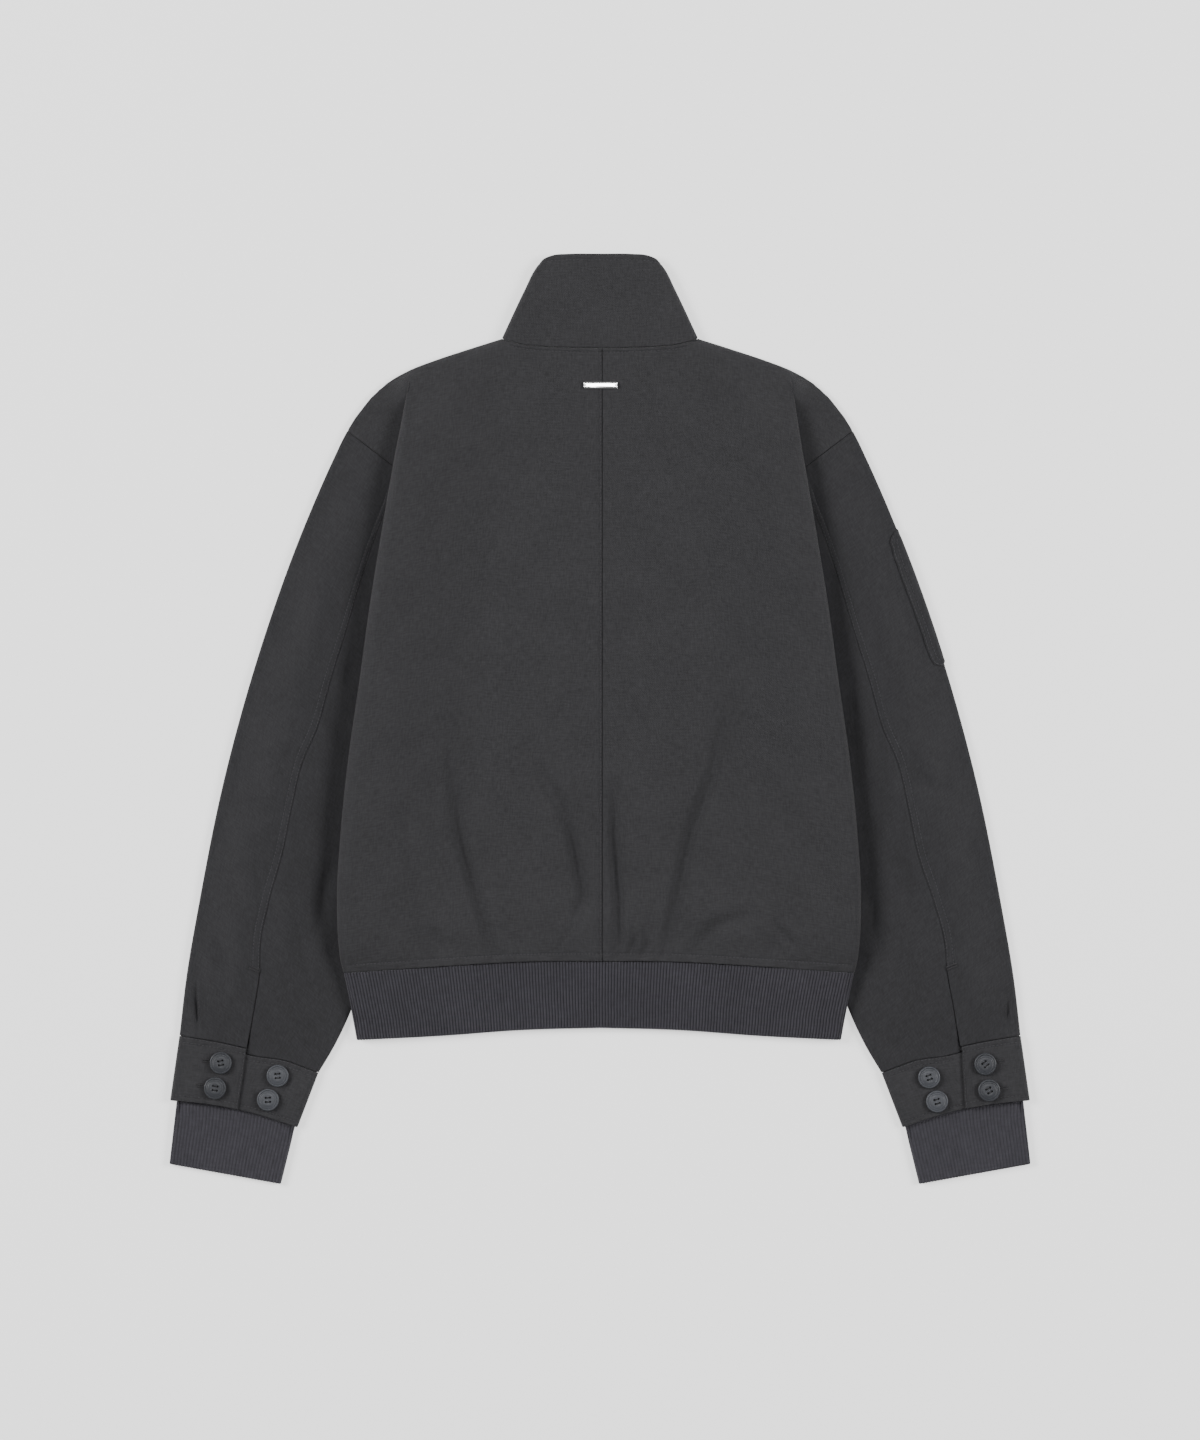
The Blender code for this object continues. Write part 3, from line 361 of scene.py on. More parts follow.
def back_relief(x, y, side):
    """Creases, puckers and seams of the back, as a rise in millimetres."""
    to_edge = body_edge(y, side) - edge_radius(y) - x
    inside = ease(to_edge / 14)
    from_hem = y - follow(HEM_SEAM, x)
    from_neck = follow(NECK_SEAM, x) - y
    at_neck = 1 - ease((x - 70) / 14)
    from_centre = np.abs(x - side * CENTRE_SEAM)
    beside_seam = ease((from_centre - 1.6) / 7)
    signed = x * side
    rise = -troughs(signed, y, BACK_CREASES) * beside_seam * inside
    rise = rise + 0.32 * swell(signed, y, 46, 3) + 0.16 * swell(signed, y, 17, 4)
    rise = rise + 0.5 * swell(signed, y / 1.6, 24, 8) * np.exp(-from_hem / 90)
    ripple = swell(signed, y / 3, 9, 5) + 0.7 * swell(signed, y / 3, 5, 6)
    rise = rise + 0.7 * ripple * np.exp(-np.abs(from_hem - 4) / 13)
    rise = rise + 0.25 * swell(signed, y, 6, 7) * np.exp(-from_neck / 8) * at_neck
    rise = rise * inside * ease(from_hem / 5 + 0.2) * (0.35 + 0.65 * beside_seam)
    rise = rise + 0.3 * ease((HEM_STITCH - from_hem) / 1.6) - 0.55 * groove(from_hem, HEM_STITCH)
    rise = rise - turned_in(from_hem, 0.55)
    rise = rise + at_neck * (0.7 * ease((NECK_STITCH - from_neck) / 1.0)
                             - 0.9 * groove(from_neck, NECK_STITCH + 0.4, 0.8)
                             - turned_in(from_neck, 1.2))
    if side < 0:
        seam = 0.55 * ease((2.6 - from_centre) / 1.0) - 0.35 * groove(from_centre, 2.7, 0.7)
        seam = seam - turned_in(from_centre - 0.1, 0.3)
    else:
        seam = -turned_in(from_centre - 0.1, 0.4)
    return rise + seam


def back_top(x, y, side):
    return back_form(x, y, side) + back_relief(x, y, side)


def sleeve_outer(y):
    return follow(SLEEVE_OUTLINE, y)


def sleeve_form(x, y, side):
    """Top of the sleeve at |x|, y; the shoulder beside it, under the back's fold, has it too."""
    inner = np.maximum(body_edge(y, side), follow(SLEEVE_FOLD, y))
    slope = (sleeve_outer(y + 2) - sleeve_outer(y - 2)) / 4
    from_outside = (sleeve_outer(y) - x) / np.hypot(1, slope)
    rise = ease((x - inner) / DOME_RUN) * ease(from_outside / DOME_RUN)
    return SLEEVE_FLAT + follow(SLEEVE_DOME, y) * rise


def sleeve_relief(x, y, side):
    """Creases of the sleeve's back, as a rise in millimetres."""
    uneven = 0.6 * swell(x, y, 40, 11 + side) + 0.4 * swell(x + y, y - x, 16, 14 + side)
    return uneven - troughs(x, y, SLEEVE_CREASES[side])


# ---------------------------------------------------------------- shader nodes

def put(tree, kind, inputs=None, **settings):
    """Add a node. Its inputs are given as values or as other nodes' outputs."""
    node = tree.nodes.new(kind)
    for key, value in settings.items():
        setattr(node, key, value)
    for key, value in (inputs or {}).items():
        if isinstance(value, bpy.types.NodeSocket):
            tree.links.new(value, node.inputs[key])
        else:
            node.inputs[key].default_value = value
    return node


def worked(tree, operation, a, b=0.0, c=0.0):
    """The output of a Math node."""
    return put(tree, "ShaderNodeMath", {0: a, 1: b, 2: c}, operation=operation).outputs[0]


def socketed(name, kind, inputs, outputs):
    """An empty node tree with named sockets, and its input and output nodes."""
    tree = bpy.data.node_groups.new(name, kind)
    for direction, sockets in (("INPUT", inputs), ("OUTPUT", outputs)):
        for label, socket in sockets.items():
            tree.interface.new_socket(label, in_out=direction, socket_type=f"NodeSocket{socket}")
    return tree, tree.nodes.new("NodeGroupInput"), tree.nodes.new("NodeGroupOutput")


def make_weave_group():
    """Diagonal cords of twill, broken into single threads."""
    tree, given, made = socketed("twill_weave", "ShaderNodeTree",
                                 {"Place": "Vector", "Cord Pitch": "Float", "Thread Pitch": "Float"},
                                 {"Height": "Float"})
    place = put(tree, "ShaderNodeSeparateXYZ", {0: given.outputs["Place"]})
    u, v = place.outputs[0], place.outputs[1]
    slant = worked(tree, "ADD", u, v)
    cords = worked(tree, "DIVIDE", slant, given.outputs["Cord Pitch"])
    cords = worked(tree, "SINE", worked(tree, "MULTIPLY", cords, math.tau))
    threads = worked(tree, "DIVIDE", u, given.outputs["Thread Pitch"])
    threads = worked(tree, "SINE", worked(tree, "MULTIPLY", threads, math.tau))
    both = worked(tree, "MULTIPLY_ADD", threads, 0.35, cords)
    height = worked(tree, "MULTIPLY_ADD", both, 0.37, 0.5)
    tree.links.new(height, made.inputs["Height"])
    return tree


def make_knit_group():
    """Rows of small V-shaped loops along each rib."""
    tree, given, made = socketed("knit_loops", "ShaderNodeTree",
                                 {"Place": "Vector", "Loop Width": "Float", "Loop Height": "Float"},
                                 {"Height": "Float"})
    place = put(tree, "ShaderNodeSeparateXYZ", {0: given.outputs["Place"]})
    column = worked(tree, "DIVIDE", place.outputs[0], given.outputs["Loop Width"])
    lean = worked(tree, "ABSOLUTE", worked(tree, "SUBTRACT", worked(tree, "FRACT", column), 0.5))
    row = worked(tree, "DIVIDE", place.outputs[1], given.outputs["Loop Height"])
    turn = worked(tree, "MULTIPLY", worked(tree, "ADD", row, lean), math.tau)
    height = worked(tree, "MULTIPLY_ADD", worked(tree, "SINE", turn), 0.5, 0.5)
    tree.links.new(height, made.inputs["Height"])
    return tree


def make_yarn_group():
    """Uneven dye: single yarns, slubs and wide faded clouds."""
    tree, given, made = socketed("uneven_yarn", "ShaderNodeTree",
                                 {"Place": "Vector", "Colour": "Color", "Fleck Size": "Float",
                                  "Fleck": "Float", "Cloud Size": "Float", "Cloud": "Float"},
                                 {"Colour": "Color", "Roughness": "Float"})

    def noise(size, detail, stretch=(1, 1, 1)):
        scale = worked(tree, "DIVIDE", 1.0, size)
        place = put(tree, "ShaderNodeMapping", {"Vector": given.outputs["Place"], "Scale": stretch})
        node = put(tree, "ShaderNodeTexNoise", {"Vector": place.outputs[0], "Scale": scale,
                                                "Detail": detail, "Roughness": 0.6})
        return worked(tree, "SUBTRACT", node.outputs["Fac"], 0.5)

    warp = noise(given.outputs["Fleck Size"], 2.0, (1, 0.2, 1))
    weft = noise(given.outputs["Fleck Size"], 2.0, (0.2, 1, 1))
    fleck = worked(tree, "MULTIPLY", worked(tree, "ADD", warp, weft), given.outputs["Fleck"])
    cloud = worked(tree, "MULTIPLY", noise(given.outputs["Cloud Size"], 3.0), given.outputs["Cloud"])
    shade = worked(tree, "ADD", worked(tree, "ADD", fleck, cloud), 1.0)
    colour = put(tree, "ShaderNodeVectorMath", {0: given.outputs["Colour"]}, operation="SCALE")
    tree.links.new(shade, colour.inputs["Scale"])
    rough = worked(tree, "MULTIPLY_ADD", fleck, 0.3, 0.88)
    tree.links.new(colour.outputs[0], made.inputs["Colour"])
    tree.links.new(rough, made.inputs["Roughness"])
    return tree


def new_material(name, **values):
    """A material with the shader's own even values set on it."""
    material = bpy.data.materials.new(name)
    material.use_nodes = True
    shader = material.node_tree.nodes["Principled BSDF"]
    for label, value in values.items():
        shader.inputs[label.replace("_", " ")].default_value = value
    return material, material.node_tree, shader


def grouped(tree, group, inputs):
    return put(tree, "ShaderNodeGroup", inputs, node_tree=group)


def dyed(tree, shader, place, colour, fleck_size, fleck, cloud_size, cloud):
    node = grouped(tree, YARN, {"Place": place, "Colour": (*colour, 1), "Fleck Size": fleck_size,
                                "Fleck": fleck, "Cloud Size": cloud_size, "Cloud": cloud})
    tree.links.new(node.outputs["Colour"], shader.inputs["Base Color"])
    tree.links.new(node.outputs["Roughness"], shader.inputs["Roughness"])
    return node.outputs["Colour"]


def bumped(tree, shader, height, distance, strength=1.0):
    bump = put(tree, "ShaderNodeBump", {"Height": height, "Distance": distance,
                                        "Strength": strength})
    tree.links.new(bump.outputs["Normal"], shader.inputs["Normal"])


def make_woven(name, colour, yarn, cord_pitch, thread_pitch, height, on_cloth=True, **values):
    """Woven cloth or plied thread. yarn is the size and strength of its flecks and its clouds."""
    material, tree, shader = new_material(name, **values)
    if on_cloth:
        place = put(tree, "ShaderNodeUVMap", uv_map="cloth").outputs[0]
    else:
        place = put(tree, "ShaderNodeTexCoord").outputs["Object"]
    dyed(tree, shader, place, colour, *yarn)
    weave = grouped(tree, WEAVE, {"Place": place, "Cord Pitch": cord_pitch,
                                  "Thread Pitch": thread_pitch})
    bumped(tree, shader, weave.outputs["Height"], height)
    return material


def make_twill(name, colour):
    return make_woven(name, colour, (0.0014, 0.85, 0.04, 0.34), 0.0009, 0.0006, 0.00016,
                      Sheen_Weight=0.12, Sheen_Roughness=0.45, Specular_IOR_Level=0.25)


def make_tape():
    return make_woven("zip_tape", TAPE_COLOUR, (0.001, 0.5, 0.03, 0.2), 0.0016, 0.0008, 0.0002,
                      Sheen_Weight=0.05, Specular_IOR_Level=0.3)


def make_thread(name, colour):
    return make_woven(name, colour, (0.0008, 0.5, 0.02, 0.2), 0.0004, 0.0003, 0.00006,
                      on_cloth=False, Specular_IOR_Level=0.5)


def make_rib(name, painted_groove_shade):
    material, tree, shader = new_material(name, Sheen_Weight=0.15, Sheen_Roughness=0.5,
                                          Specular_IOR_Level=0.2)
    place = put(tree, "ShaderNodeUVMap", uv_map="cloth").outputs[0]
    yarn = dyed(tree, shader, place, RIB_COLOUR, 0.0018, 0.6, 0.05, 0.42)
    # painted shade: the knit's colour is darkened in the grooves between the ribs
    round_it = put(tree, "ShaderNodeAttribute", attribute_name="ribs").outputs["Fac"]
    turn = worked(tree, "MULTIPLY", round_it, math.pi)
    crest = worked(tree, "ABSOLUTE", worked(tree, "SINE", turn))
    shade = put(tree, "ShaderNodeMapRange", {"Value": crest, "From Max": 0.8, "To Min": painted_groove_shade,
                                             "To Max": 1.05})
    darker = put(tree, "ShaderNodeVectorMath", {0: yarn, "Scale": shade.outputs[0]},
                 operation="SCALE")
    tree.links.new(darker.outputs[0], shader.inputs["Base Color"])
    loops = grouped(tree, KNIT, {"Place": place, "Loop Width": 0.00135, "Loop Height": 0.0011})
    bumped(tree, shader, loops.outputs["Height"], 0.00018)
    return material


def make_button_plastic(name, colour):
    material, tree, shader = new_material(name, Specular_IOR_Level=0.45,
                                          Coat_Weight=0.08, Coat_Roughness=0.25)
    place = put(tree, "ShaderNodeTexCoord").outputs["Object"]
    node = grouped(tree, YARN, {"Place": place, "Colour": (*colour, 1), "Fleck Size": 0.002,
                                "Fleck": 0.35, "Cloud Size": 0.012, "Cloud": 0.5})
    tree.links.new(node.outputs["Colour"], shader.inputs["Base Color"])
    grain = put(tree, "ShaderNodeTexNoise", {"Vector": place, "Scale": 900.0, "Detail": 2.0})
    rough = worked(tree, "MULTIPLY_ADD", grain.outputs["Fac"], 0.16, 0.34)
    tree.links.new(rough, shader.inputs["Roughness"])
    bumped(tree, shader, grain.outputs["Fac"], 0.00003)
    return material


def make_metal():
    material, tree, shader = new_material("polished_metal", Metallic=1.0)
    place = put(tree, "ShaderNodeTexCoord").outputs["Object"]
    brushed = put(tree, "ShaderNodeMapping", {"Vector": place, "Scale": (60, 2400, 2400)})
    grain = put(tree, "ShaderNodeTexNoise", {"Vector": brushed.outputs[0], "Scale": 1.0,
                                             "Detail": 3.0})
    tone = put(tree, "ShaderNodeMapRange", {"Value": grain.outputs["Fac"], "To Min": 0.80,
                                            "To Max": 0.90})
    colour = put(tree, "ShaderNodeCombineColor", {0: tone.outputs[0], 1: tone.outputs[0],
                                                  2: tone.outputs[0]})
    tree.links.new(colour.outputs[0], shader.inputs["Base Color"])
    rough = worked(tree, "MULTIPLY_ADD", grain.outputs["Fac"], 0.06, 0.07)
    tree.links.new(rough, shader.inputs["Roughness"])
    bumped(tree, shader, grain.outputs["Fac"], 0.00001)
    return material


def make_floor_finish():
    material, tree, shader = new_material("floor_board", Specular_IOR_Level=0.2,
                                          Emission_Color=(1, 1, 1, 1), Emission_Strength=0.9)
    place = put(tree, "ShaderNodeTexCoord").outputs["Object"]
    node = grouped(tree, YARN, {"Place": place, "Colour": (0.93, 0.93, 0.93, 1),
                                "Fleck Size": 0.01, "Fleck": 0.01, "Cloud Size": 0.6,
                                "Cloud": 0.01})
    tree.links.new(node.outputs["Colour"], shader.inputs["Base Color"])
    tree.links.new(node.outputs["Roughness"], shader.inputs["Roughness"])
    return material


# ---------------------------------------------------------------- geometry nodes

def make_sewing_tree():
    """Lays one shape after another along the lines it is given, facing as they say."""
    tree, given, made = socketed(
        "along_a_line", "GeometryNodeTree",
        {"Lines": "Geometry", "Shape": "Object", "Pitch": "Float", "Turn": "Float",
         "Finish": "Material"},
        {"Geometry": "Geometry"})
    line = put(tree, "GeometryNodeMeshToCurve", {"Mesh": given.outputs["Lines"]})
    spaced = put(tree, "GeometryNodeResampleCurve",
                 {"Curve": line.outputs[0], "Length": given.outputs["Pitch"]}, mode="LENGTH")
    tangent = put(tree, "GeometryNodeInputTangent")
    facing = put(tree, "GeometryNodeInputNamedAttribute", {"Name": "facing"},
                 data_type="FLOAT_VECTOR")
    ahead = put(tree, "FunctionNodeAlignRotationToVector", {"Vector": tangent.outputs[0]}, axis="X")
    up = put(tree, "FunctionNodeAlignRotationToVector",
             {"Rotation": ahead.outputs[0], "Vector": facing.outputs["Attribute"]},
             axis="Z", pivot_axis="X")
    axis = put(tree, "FunctionNodeAxisAngleToRotation",
               {"Axis": (0.0, 0.0, 1.0), "Angle": given.outputs["Turn"]})
    turned = put(tree, "FunctionNodeRotateRotation",
                 {"Rotation": up.outputs[0], "Rotate By": axis.outputs[0]}, rotation_space="LOCAL")
    shape = put(tree, "GeometryNodeObjectInfo", {"Object": given.outputs["Shape"]})
    laid = put(tree, "GeometryNodeInstanceOnPoints",
               {"Points": spaced.outputs[0], "Instance": shape.outputs["Geometry"],
                "Rotation": turned.outputs[0]})
    real = put(tree, "GeometryNodeRealizeInstances", {"Geometry": laid.outputs[0]})
    finish = put(tree, "GeometryNodeSetMaterial",
                 {"Geometry": real.outputs[0], "Material": given.outputs["Finish"]})
    tree.links.new(finish.outputs[0], made.inputs[0])
    return tree


def make_rib_tree():
    """Sinks grooves between rounded ribs into a band whose points know their place round it."""
    tree, given, made = socketed(
        "knitted_ribs", "GeometryNodeTree",
        {"Band": "Geometry", "Groove Depth": "Float", "Finish": "Material"},
        {"Geometry": "Geometry"})
    place = put(tree, "GeometryNodeInputNamedAttribute", {"Name": "ribs"}, data_type="FLOAT")
    turn = worked(tree, "MULTIPLY", place.outputs["Attribute"], math.pi)
    crest = worked(tree, "ABSOLUTE", worked(tree, "SINE", turn))
    crest = worked(tree, "POWER", crest, 0.7)
    sunk = worked(tree, "MULTIPLY", worked(tree, "SUBTRACT", crest, 1.0),
                  given.outputs["Groove Depth"])
    normal = put(tree, "GeometryNodeInputNormal")
    offset = put(tree, "ShaderNodeVectorMath", {0: normal.outputs[0]}, operation="SCALE")
    tree.links.new(sunk, offset.inputs["Scale"])
    moved = put(tree, "GeometryNodeSetPosition",
                {"Geometry": given.outputs["Band"], "Offset": offset.outputs[0]})
    real = put(tree, "GeometryNodeRealizeInstances", {"Geometry": moved.outputs[0]})
    finish = put(tree, "GeometryNodeSetMaterial",
                 {"Geometry": real.outputs[0], "Material": given.outputs["Finish"]})
    tree.links.new(finish.outputs[0], made.inputs[0])
    return tree


def plain_mesh(piece):
    """The mesh that an object's modifiers, or its bevel, make of it."""
    bpy.context.view_layer.update()
    evaluated = piece.evaluated_get(bpy.context.evaluated_depsgraph_get())
    return bpy.data.meshes.new_from_object(evaluated)


def kept_mesh(name, bm):
    """A mesh of what has been modelled, whose own working copy is then freed."""
    mesh = bpy.data.meshes.new(name)
    bm.to_mesh(mesh)
    bm.free()
    return mesh


def discard(*pieces):
    for piece in pieces:
        bpy.data.objects.remove(piece, do_unlink=True)


def grown(source, tree, values):
    """The plain mesh that a node tree makes of an object, with its inputs set by their names."""
    modifier = source.modifiers.new(tree.name, "NODES")
    modifier.node_group = tree
    for item in tree.interface.items_tree:
        if item.in_out == "INPUT" and item.name in values:
            modifier[item.identifier] = values[item.name]
    source.update_tag()
    mesh = plain_mesh(source)
    source.modifiers.remove(modifier)
    return mesh


# ---------------------------------------------------------------- making pieces

def linked(name, mesh):
    piece = bpy.data.objects.new(name, mesh)
    bpy.context.scene.collection.objects.link(piece)
    return piece


def table_of(columns, rows, place):
    """Points (columns, rows, 3) with place(column, rows' values) giving x, y and z arrays."""
    made = []
    for column in columns:
        x, y, z = place(column, rows)
        made.append(np.stack(np.broadcast_arrays(x, y, z), axis=-1))
    return np.array(made, float)


def facing_of(points, flip):
    """Outward unit vectors of a table of points."""
    across, along = np.gradient(points, axis=0), np.gradient(points, axis=1)
    facing = np.cross(across, along) * (-1 if flip else 1)
    size = np.linalg.norm(facing, axis=2, keepdims=True)
    return np.where(size > 1e-9, facing / np.maximum(size, 1e-9), (0, 0, 1))


def raised(points, flip, rise):
    """The points moved out by rise, an array (columns, rows)."""
    return points + facing_of(points, flip) * rise[..., None]


def with_allowance(points, flip, edge, steps=((0.25, 0.8), (0.8, 1.7), (5.0, 1.9)), ceiling=None,
                   lowest=None):
    """The points with an allowance past one edge, which steps (reach, depth) take under the next
    piece. The edge is "first row", "last row", "first column" or "last column".
    """
    at_end, by_row = edge.startswith("last"), edge.endswith("row")
    table = points if by_row else points.swapaxes(0, 1)
    facing = facing_of(points, flip)
    facing = facing if by_row else facing.swapaxes(0, 1)
    if not at_end:
        table, facing = table[:, ::-1], facing[:, ::-1]
    ahead = table[:, -4] - table[:, -8]
    ahead /= np.maximum(np.linalg.norm(ahead, axis=1, keepdims=True), 1e-9)
    out = facing[:, -8]
    before = table[:, -1]
    added = []
    for reach, depth in steps:
        point = before + ahead * reach - out * depth
        if ceiling is not None:
            point[:, 2] = np.minimum(point[:, 2], ceiling)
        if lowest is not None:
            point[:, 2] = np.maximum(point[:, 2], lowest)
        added.append(point)
    table = np.concatenate([table, np.stack(added, axis=1)], axis=1)
    if not at_end:
        table = table[:, ::-1]
    return table if by_row else table.swapaxes(0, 1)


def laid_out(points):
    """The cloth's own flat place at each point, in metres from its middle."""
    across = np.linalg.norm(np.diff(points, axis=0), axis=2)
    along = np.linalg.norm(np.diff(points, axis=1), axis=2)
    u = np.pad(np.cumsum(across, axis=0), ((1, 0), (0, 0)))
    v = np.pad(np.cumsum(along, axis=1), ((0, 0), (1, 0)))
    u, v = u - u[len(u) // 2], v - v[:, v.shape[1] // 2][:, None]
    return np.stack([u, v], axis=-1) * MM


def area_of(points):
    """Area of a table of points, in square metres."""
    one, two = points[1:, 1:] - points[:-1, :-1], points[:-1, 1:] - points[1:, :-1]
    return float(np.linalg.norm(np.cross(one, two), axis=2).sum()) / 2 * MM * MM


def grid_mesh(name, points, flip, ribs=None):
    """A mesh over a table of points, with its flat place as the UV map called cloth."""
    columns, rows = points.shape[:2]
    bm = bmesh.new()
    flat = bm.loops.layers.uv.new("cloth")
    rib = bm.verts.layers.float.new("ribs")
    bmesh.ops.create_grid(bm, x_segments=columns - 1, y_segments=rows - 1, size=1)
    places = laid_out(points)
    cell = {}
    for vert in bm.verts:
        column = round((vert.co.x + 1) / 2 * (columns - 1))
        row = round((vert.co.y + 1) / 2 * (rows - 1))
        cell[vert] = (column, row)
        vert.co = points[column, row] * MM
        if ribs is not None:
            vert[rib] = ribs[column]
    for face in bm.faces:
        face.smooth = True
        for loop in face.loops:
            loop[flat].uv = places[cell[loop.vert]]
    bmesh.ops.remove_doubles(bm, verts=bm.verts, dist=0.02 * MM)
    bmesh.ops.dissolve_degenerate(bm, edges=bm.edges, dist=0.01 * MM)
    if flip:
        bmesh.ops.reverse_faces(bm, faces=bm.faces)
    return kept_mesh(name, bm)


def walled(piece, wall):
    shell = piece.modifiers.new("wall", "SOLIDIFY")
    shell.thickness = wall * MM
    shell.offset = -1


def cut_of(points):
    """The flat cut of a table of points: width, length and area in metres."""
    width = float(np.linalg.norm(np.diff(points, axis=0), axis=2).sum(axis=0).max()) * MM
    length = float(np.linalg.norm(np.diff(points, axis=1), axis=2).sum(axis=1).max()) * MM
    return width, length, min(area_of(points), width * length)


def cloth(name, node, points, wall, flip, finish, ribs=None, groove_depth=0.0):
    """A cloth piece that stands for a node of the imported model."""
    mesh = grid_mesh(name, points, flip, ribs)
    if ribs is not None:
        base = linked(name + "_base", mesh)
        mesh = grown(base, RIBS, {"Groove Depth": groove_depth * MM, "Finish": finish})
        discard(base)
        mesh.name = name
    if not mesh.materials:
        mesh.materials.append(finish)
    piece = linked(name, mesh)
    walled(piece, wall)
    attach(piece, "root")
    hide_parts(node)
    width, length, area = cut_of(points)
    return piece


def fixed(name, mesh, finish=None, node=None):
    """A piece of trim on the jacket's one body, which may stand for a node."""
    if finish:
        mesh.materials.append(finish)
    piece = linked(name, mesh)
    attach(piece, "root")
    if node:
        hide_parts(node)
    return piece


# ---------------------------------------------------------------- sewing

sewn_rows = {"stitches": [], "tacks": []}


def sew(points, facings=None, kind="stitches"):
    """Note a row of sewing along points (n, 3), which lies facing up unless told otherwise."""
    points = np.array(points, float)
    if facings is None:
        facings = np.tile((0.0, 0.0, 1.0), (len(points), 1))
    sewn_rows[kind].append((points, np.array(facings, float)))


def sew_over(path, top, lift=0.2, kind="stitches"):
    """A row along a path of (x, y) arrays on the surface top(x, y)."""
    x, y = (np.asarray(values, float) for values in path)
    z = top(x, y)
    step = 0.8
    slope_x = (top(x + step, y) - top(x - step, y)) / (2 * step)
    slope_y = (top(x, y + step) - top(x, y - step)) / (2 * step)
    facing = np.stack([-slope_x, -slope_y, np.ones_like(x)], axis=-1)
    facing /= np.linalg.norm(facing, axis=1, keepdims=True)
    sew(np.stack([x, y, z + lift], axis=-1), facing, kind)


def lines_of(rows):
    """An object of bare edges along rows of sewing, each point with its facing."""
    bm = bmesh.new()
    layer = bm.verts.layers.float_vector.new("facing")
    for points, facings in rows:
        last = None
        for point, facing in zip(points, facings):
            vert = bm.verts.new(point * MM)
            vert[layer] = facing
            if last is not None:
                bm.edges.new((last, vert))
            last = vert
    return linked("sewing_lines", kept_mesh("sewing_lines", bm))


def make_stitch(length, width, height):
    """One stitch: a thread that swells in the middle and dives in at both ends."""
    bm = bmesh.new()
    bmesh.ops.create_uvsphere(bm, u_segments=8, v_segments=6, radius=0.5)
    bmesh.ops.rotate(bm, verts=bm.verts, matrix=Matrix.Rotation(math.pi / 2, 3, "Y"))
    for vert in bm.verts:
        reach = abs(vert.co.x) * 2
        vert.co.x *= length
        vert.co.y *= width * (1.15 - 0.2 * reach)
        vert.co.z = vert.co.z * height - 0.35 * height * reach ** 2
        vert.co *= MM
    for face in bm.faces:
        face.smooth = True
    return linked("stitch_shape", kept_mesh("stitch", bm))


def sew_everything():
    for name, kind, shape, pitch, turn, finish in (
            ("topstitching", "stitches", (STITCH_LENGTH, THREAD, 0.5), STITCH_PITCH, 0.0,
             THREAD_FINISH),
            ("bar_tacks", "tacks", (1.9, 0.42, 0.5), 0.42, math.pi / 2, TACK_FINISH)):
        lines = lines_of(sewn_rows[kind])
        stitch = make_stitch(*shape)
        mesh = grown(lines, SEWING, {"Shape": stitch, "Pitch": pitch * MM, "Turn": turn,
                                     "Finish": finish})
        mesh.name = name
        discard(lines, stitch)
        fixed(name, mesh)


# ---------------------------------------------------------------- body

SHALLOW_STEPS = ((0.25, 0.4), (0.8, 1.6), (5.0, 1.9))     # reach and depth below a tight seam
BACK_LOW, BACK_HIGH = -218.0, 300.0
BACK_ROWS = finer((BACK_LOW, -217.4, -216.7, -216, -214, -208, -150, 212, FOLD_END - 0.5,
                   FOLD_END + 0.5, 296, 298.5, 299.2, 299.7, BACK_HIGH), 2.6)
BACK_ROWS = np.concatenate([finer(BACK_ROWS[BACK_ROWS < -208], 0.8),
                            BACK_ROWS[(BACK_ROWS >= -208) & (BACK_ROWS < 291)],
                            finer(BACK_ROWS[BACK_ROWS >= 291], 0.9)])
BACK_COLUMNS = np.concatenate([np.array((0, 0.4, 0.8, 1.2, 1.7, 2.4, 3.4, 4.6, 6, 8)) / 222,
                               np.linspace(10.5 / 222, 1, 86)])
ROLL_ANGLES = tuple(range(78, -91, -14))
FOLD_TURN = ((212, 170.0), (222, 168.5), (236, 167.0), (252, 165.5), (268, 163.5), (282, 162.5),
             (300, 163.2))
SHOULDER_REACH = (                      # y at the side edge, x and y it reaches beyond the fold
    (212, 170.0, 212.0), (222, 190.0, 227.13), (236, 217.2, 247.7), (252, 210.0, 259.4),
    (268, 197.0, 276.0), (282, 183.0, 288.6), (291, 175.0, 293.8), (296, 169.0, 297.0),
    (300, 163.0, 300.0))


def side_seam(y, side):
    """|x| of the body's side seam and, above the armpit, of the armhole's hidden stretch."""
    low = body_edge(y, side) - SIDE_SEAM_IN
    high = mix(ARMPIT[0], ARM_CORNER[0], (y - ARMPIT[1]) / (ARM_CORNER[1] - ARMPIT[1]))
    return mix(low, high, np.clip((y - 40) / 20, 0, 1))


def back_row_y(share, rows):
    low = follow(HEM_SEAM, share * BODY_EDGE[2][1])
    high = shoulder_line(np.asarray(share * SHOULDER_FOLD_X))
    return mix(low, high, (rows - BACK_LOW) / (BACK_HIGH - BACK_LOW))


def back_flat(side):
    def place(share, rows):
        y = back_row_y(share, rows)
        start = side * CENTRE_SEAM + SEAM_GAP / 2
        x = share * (body_edge(y, side) - edge_radius(y)) + start * (1 - share) ** 6
        return side * x, y, back_top(x, y, side)
    return place


def above_hem(x, rows):
    return np.maximum(rows, follow(HEM_SEAM, x))


def back_roll(side):
    def place(angle, rows):
        radius = edge_radius(rows)
        x = body_edge(rows, side) - radius + radius * math.cos(math.radians(angle))
        z = edge_top(rows) - radius + radius * math.sin(math.radians(angle))
        return side * x, above_hem(x, rows), z - turned_in(rows - BACK_LOW, 1.5)
    return place


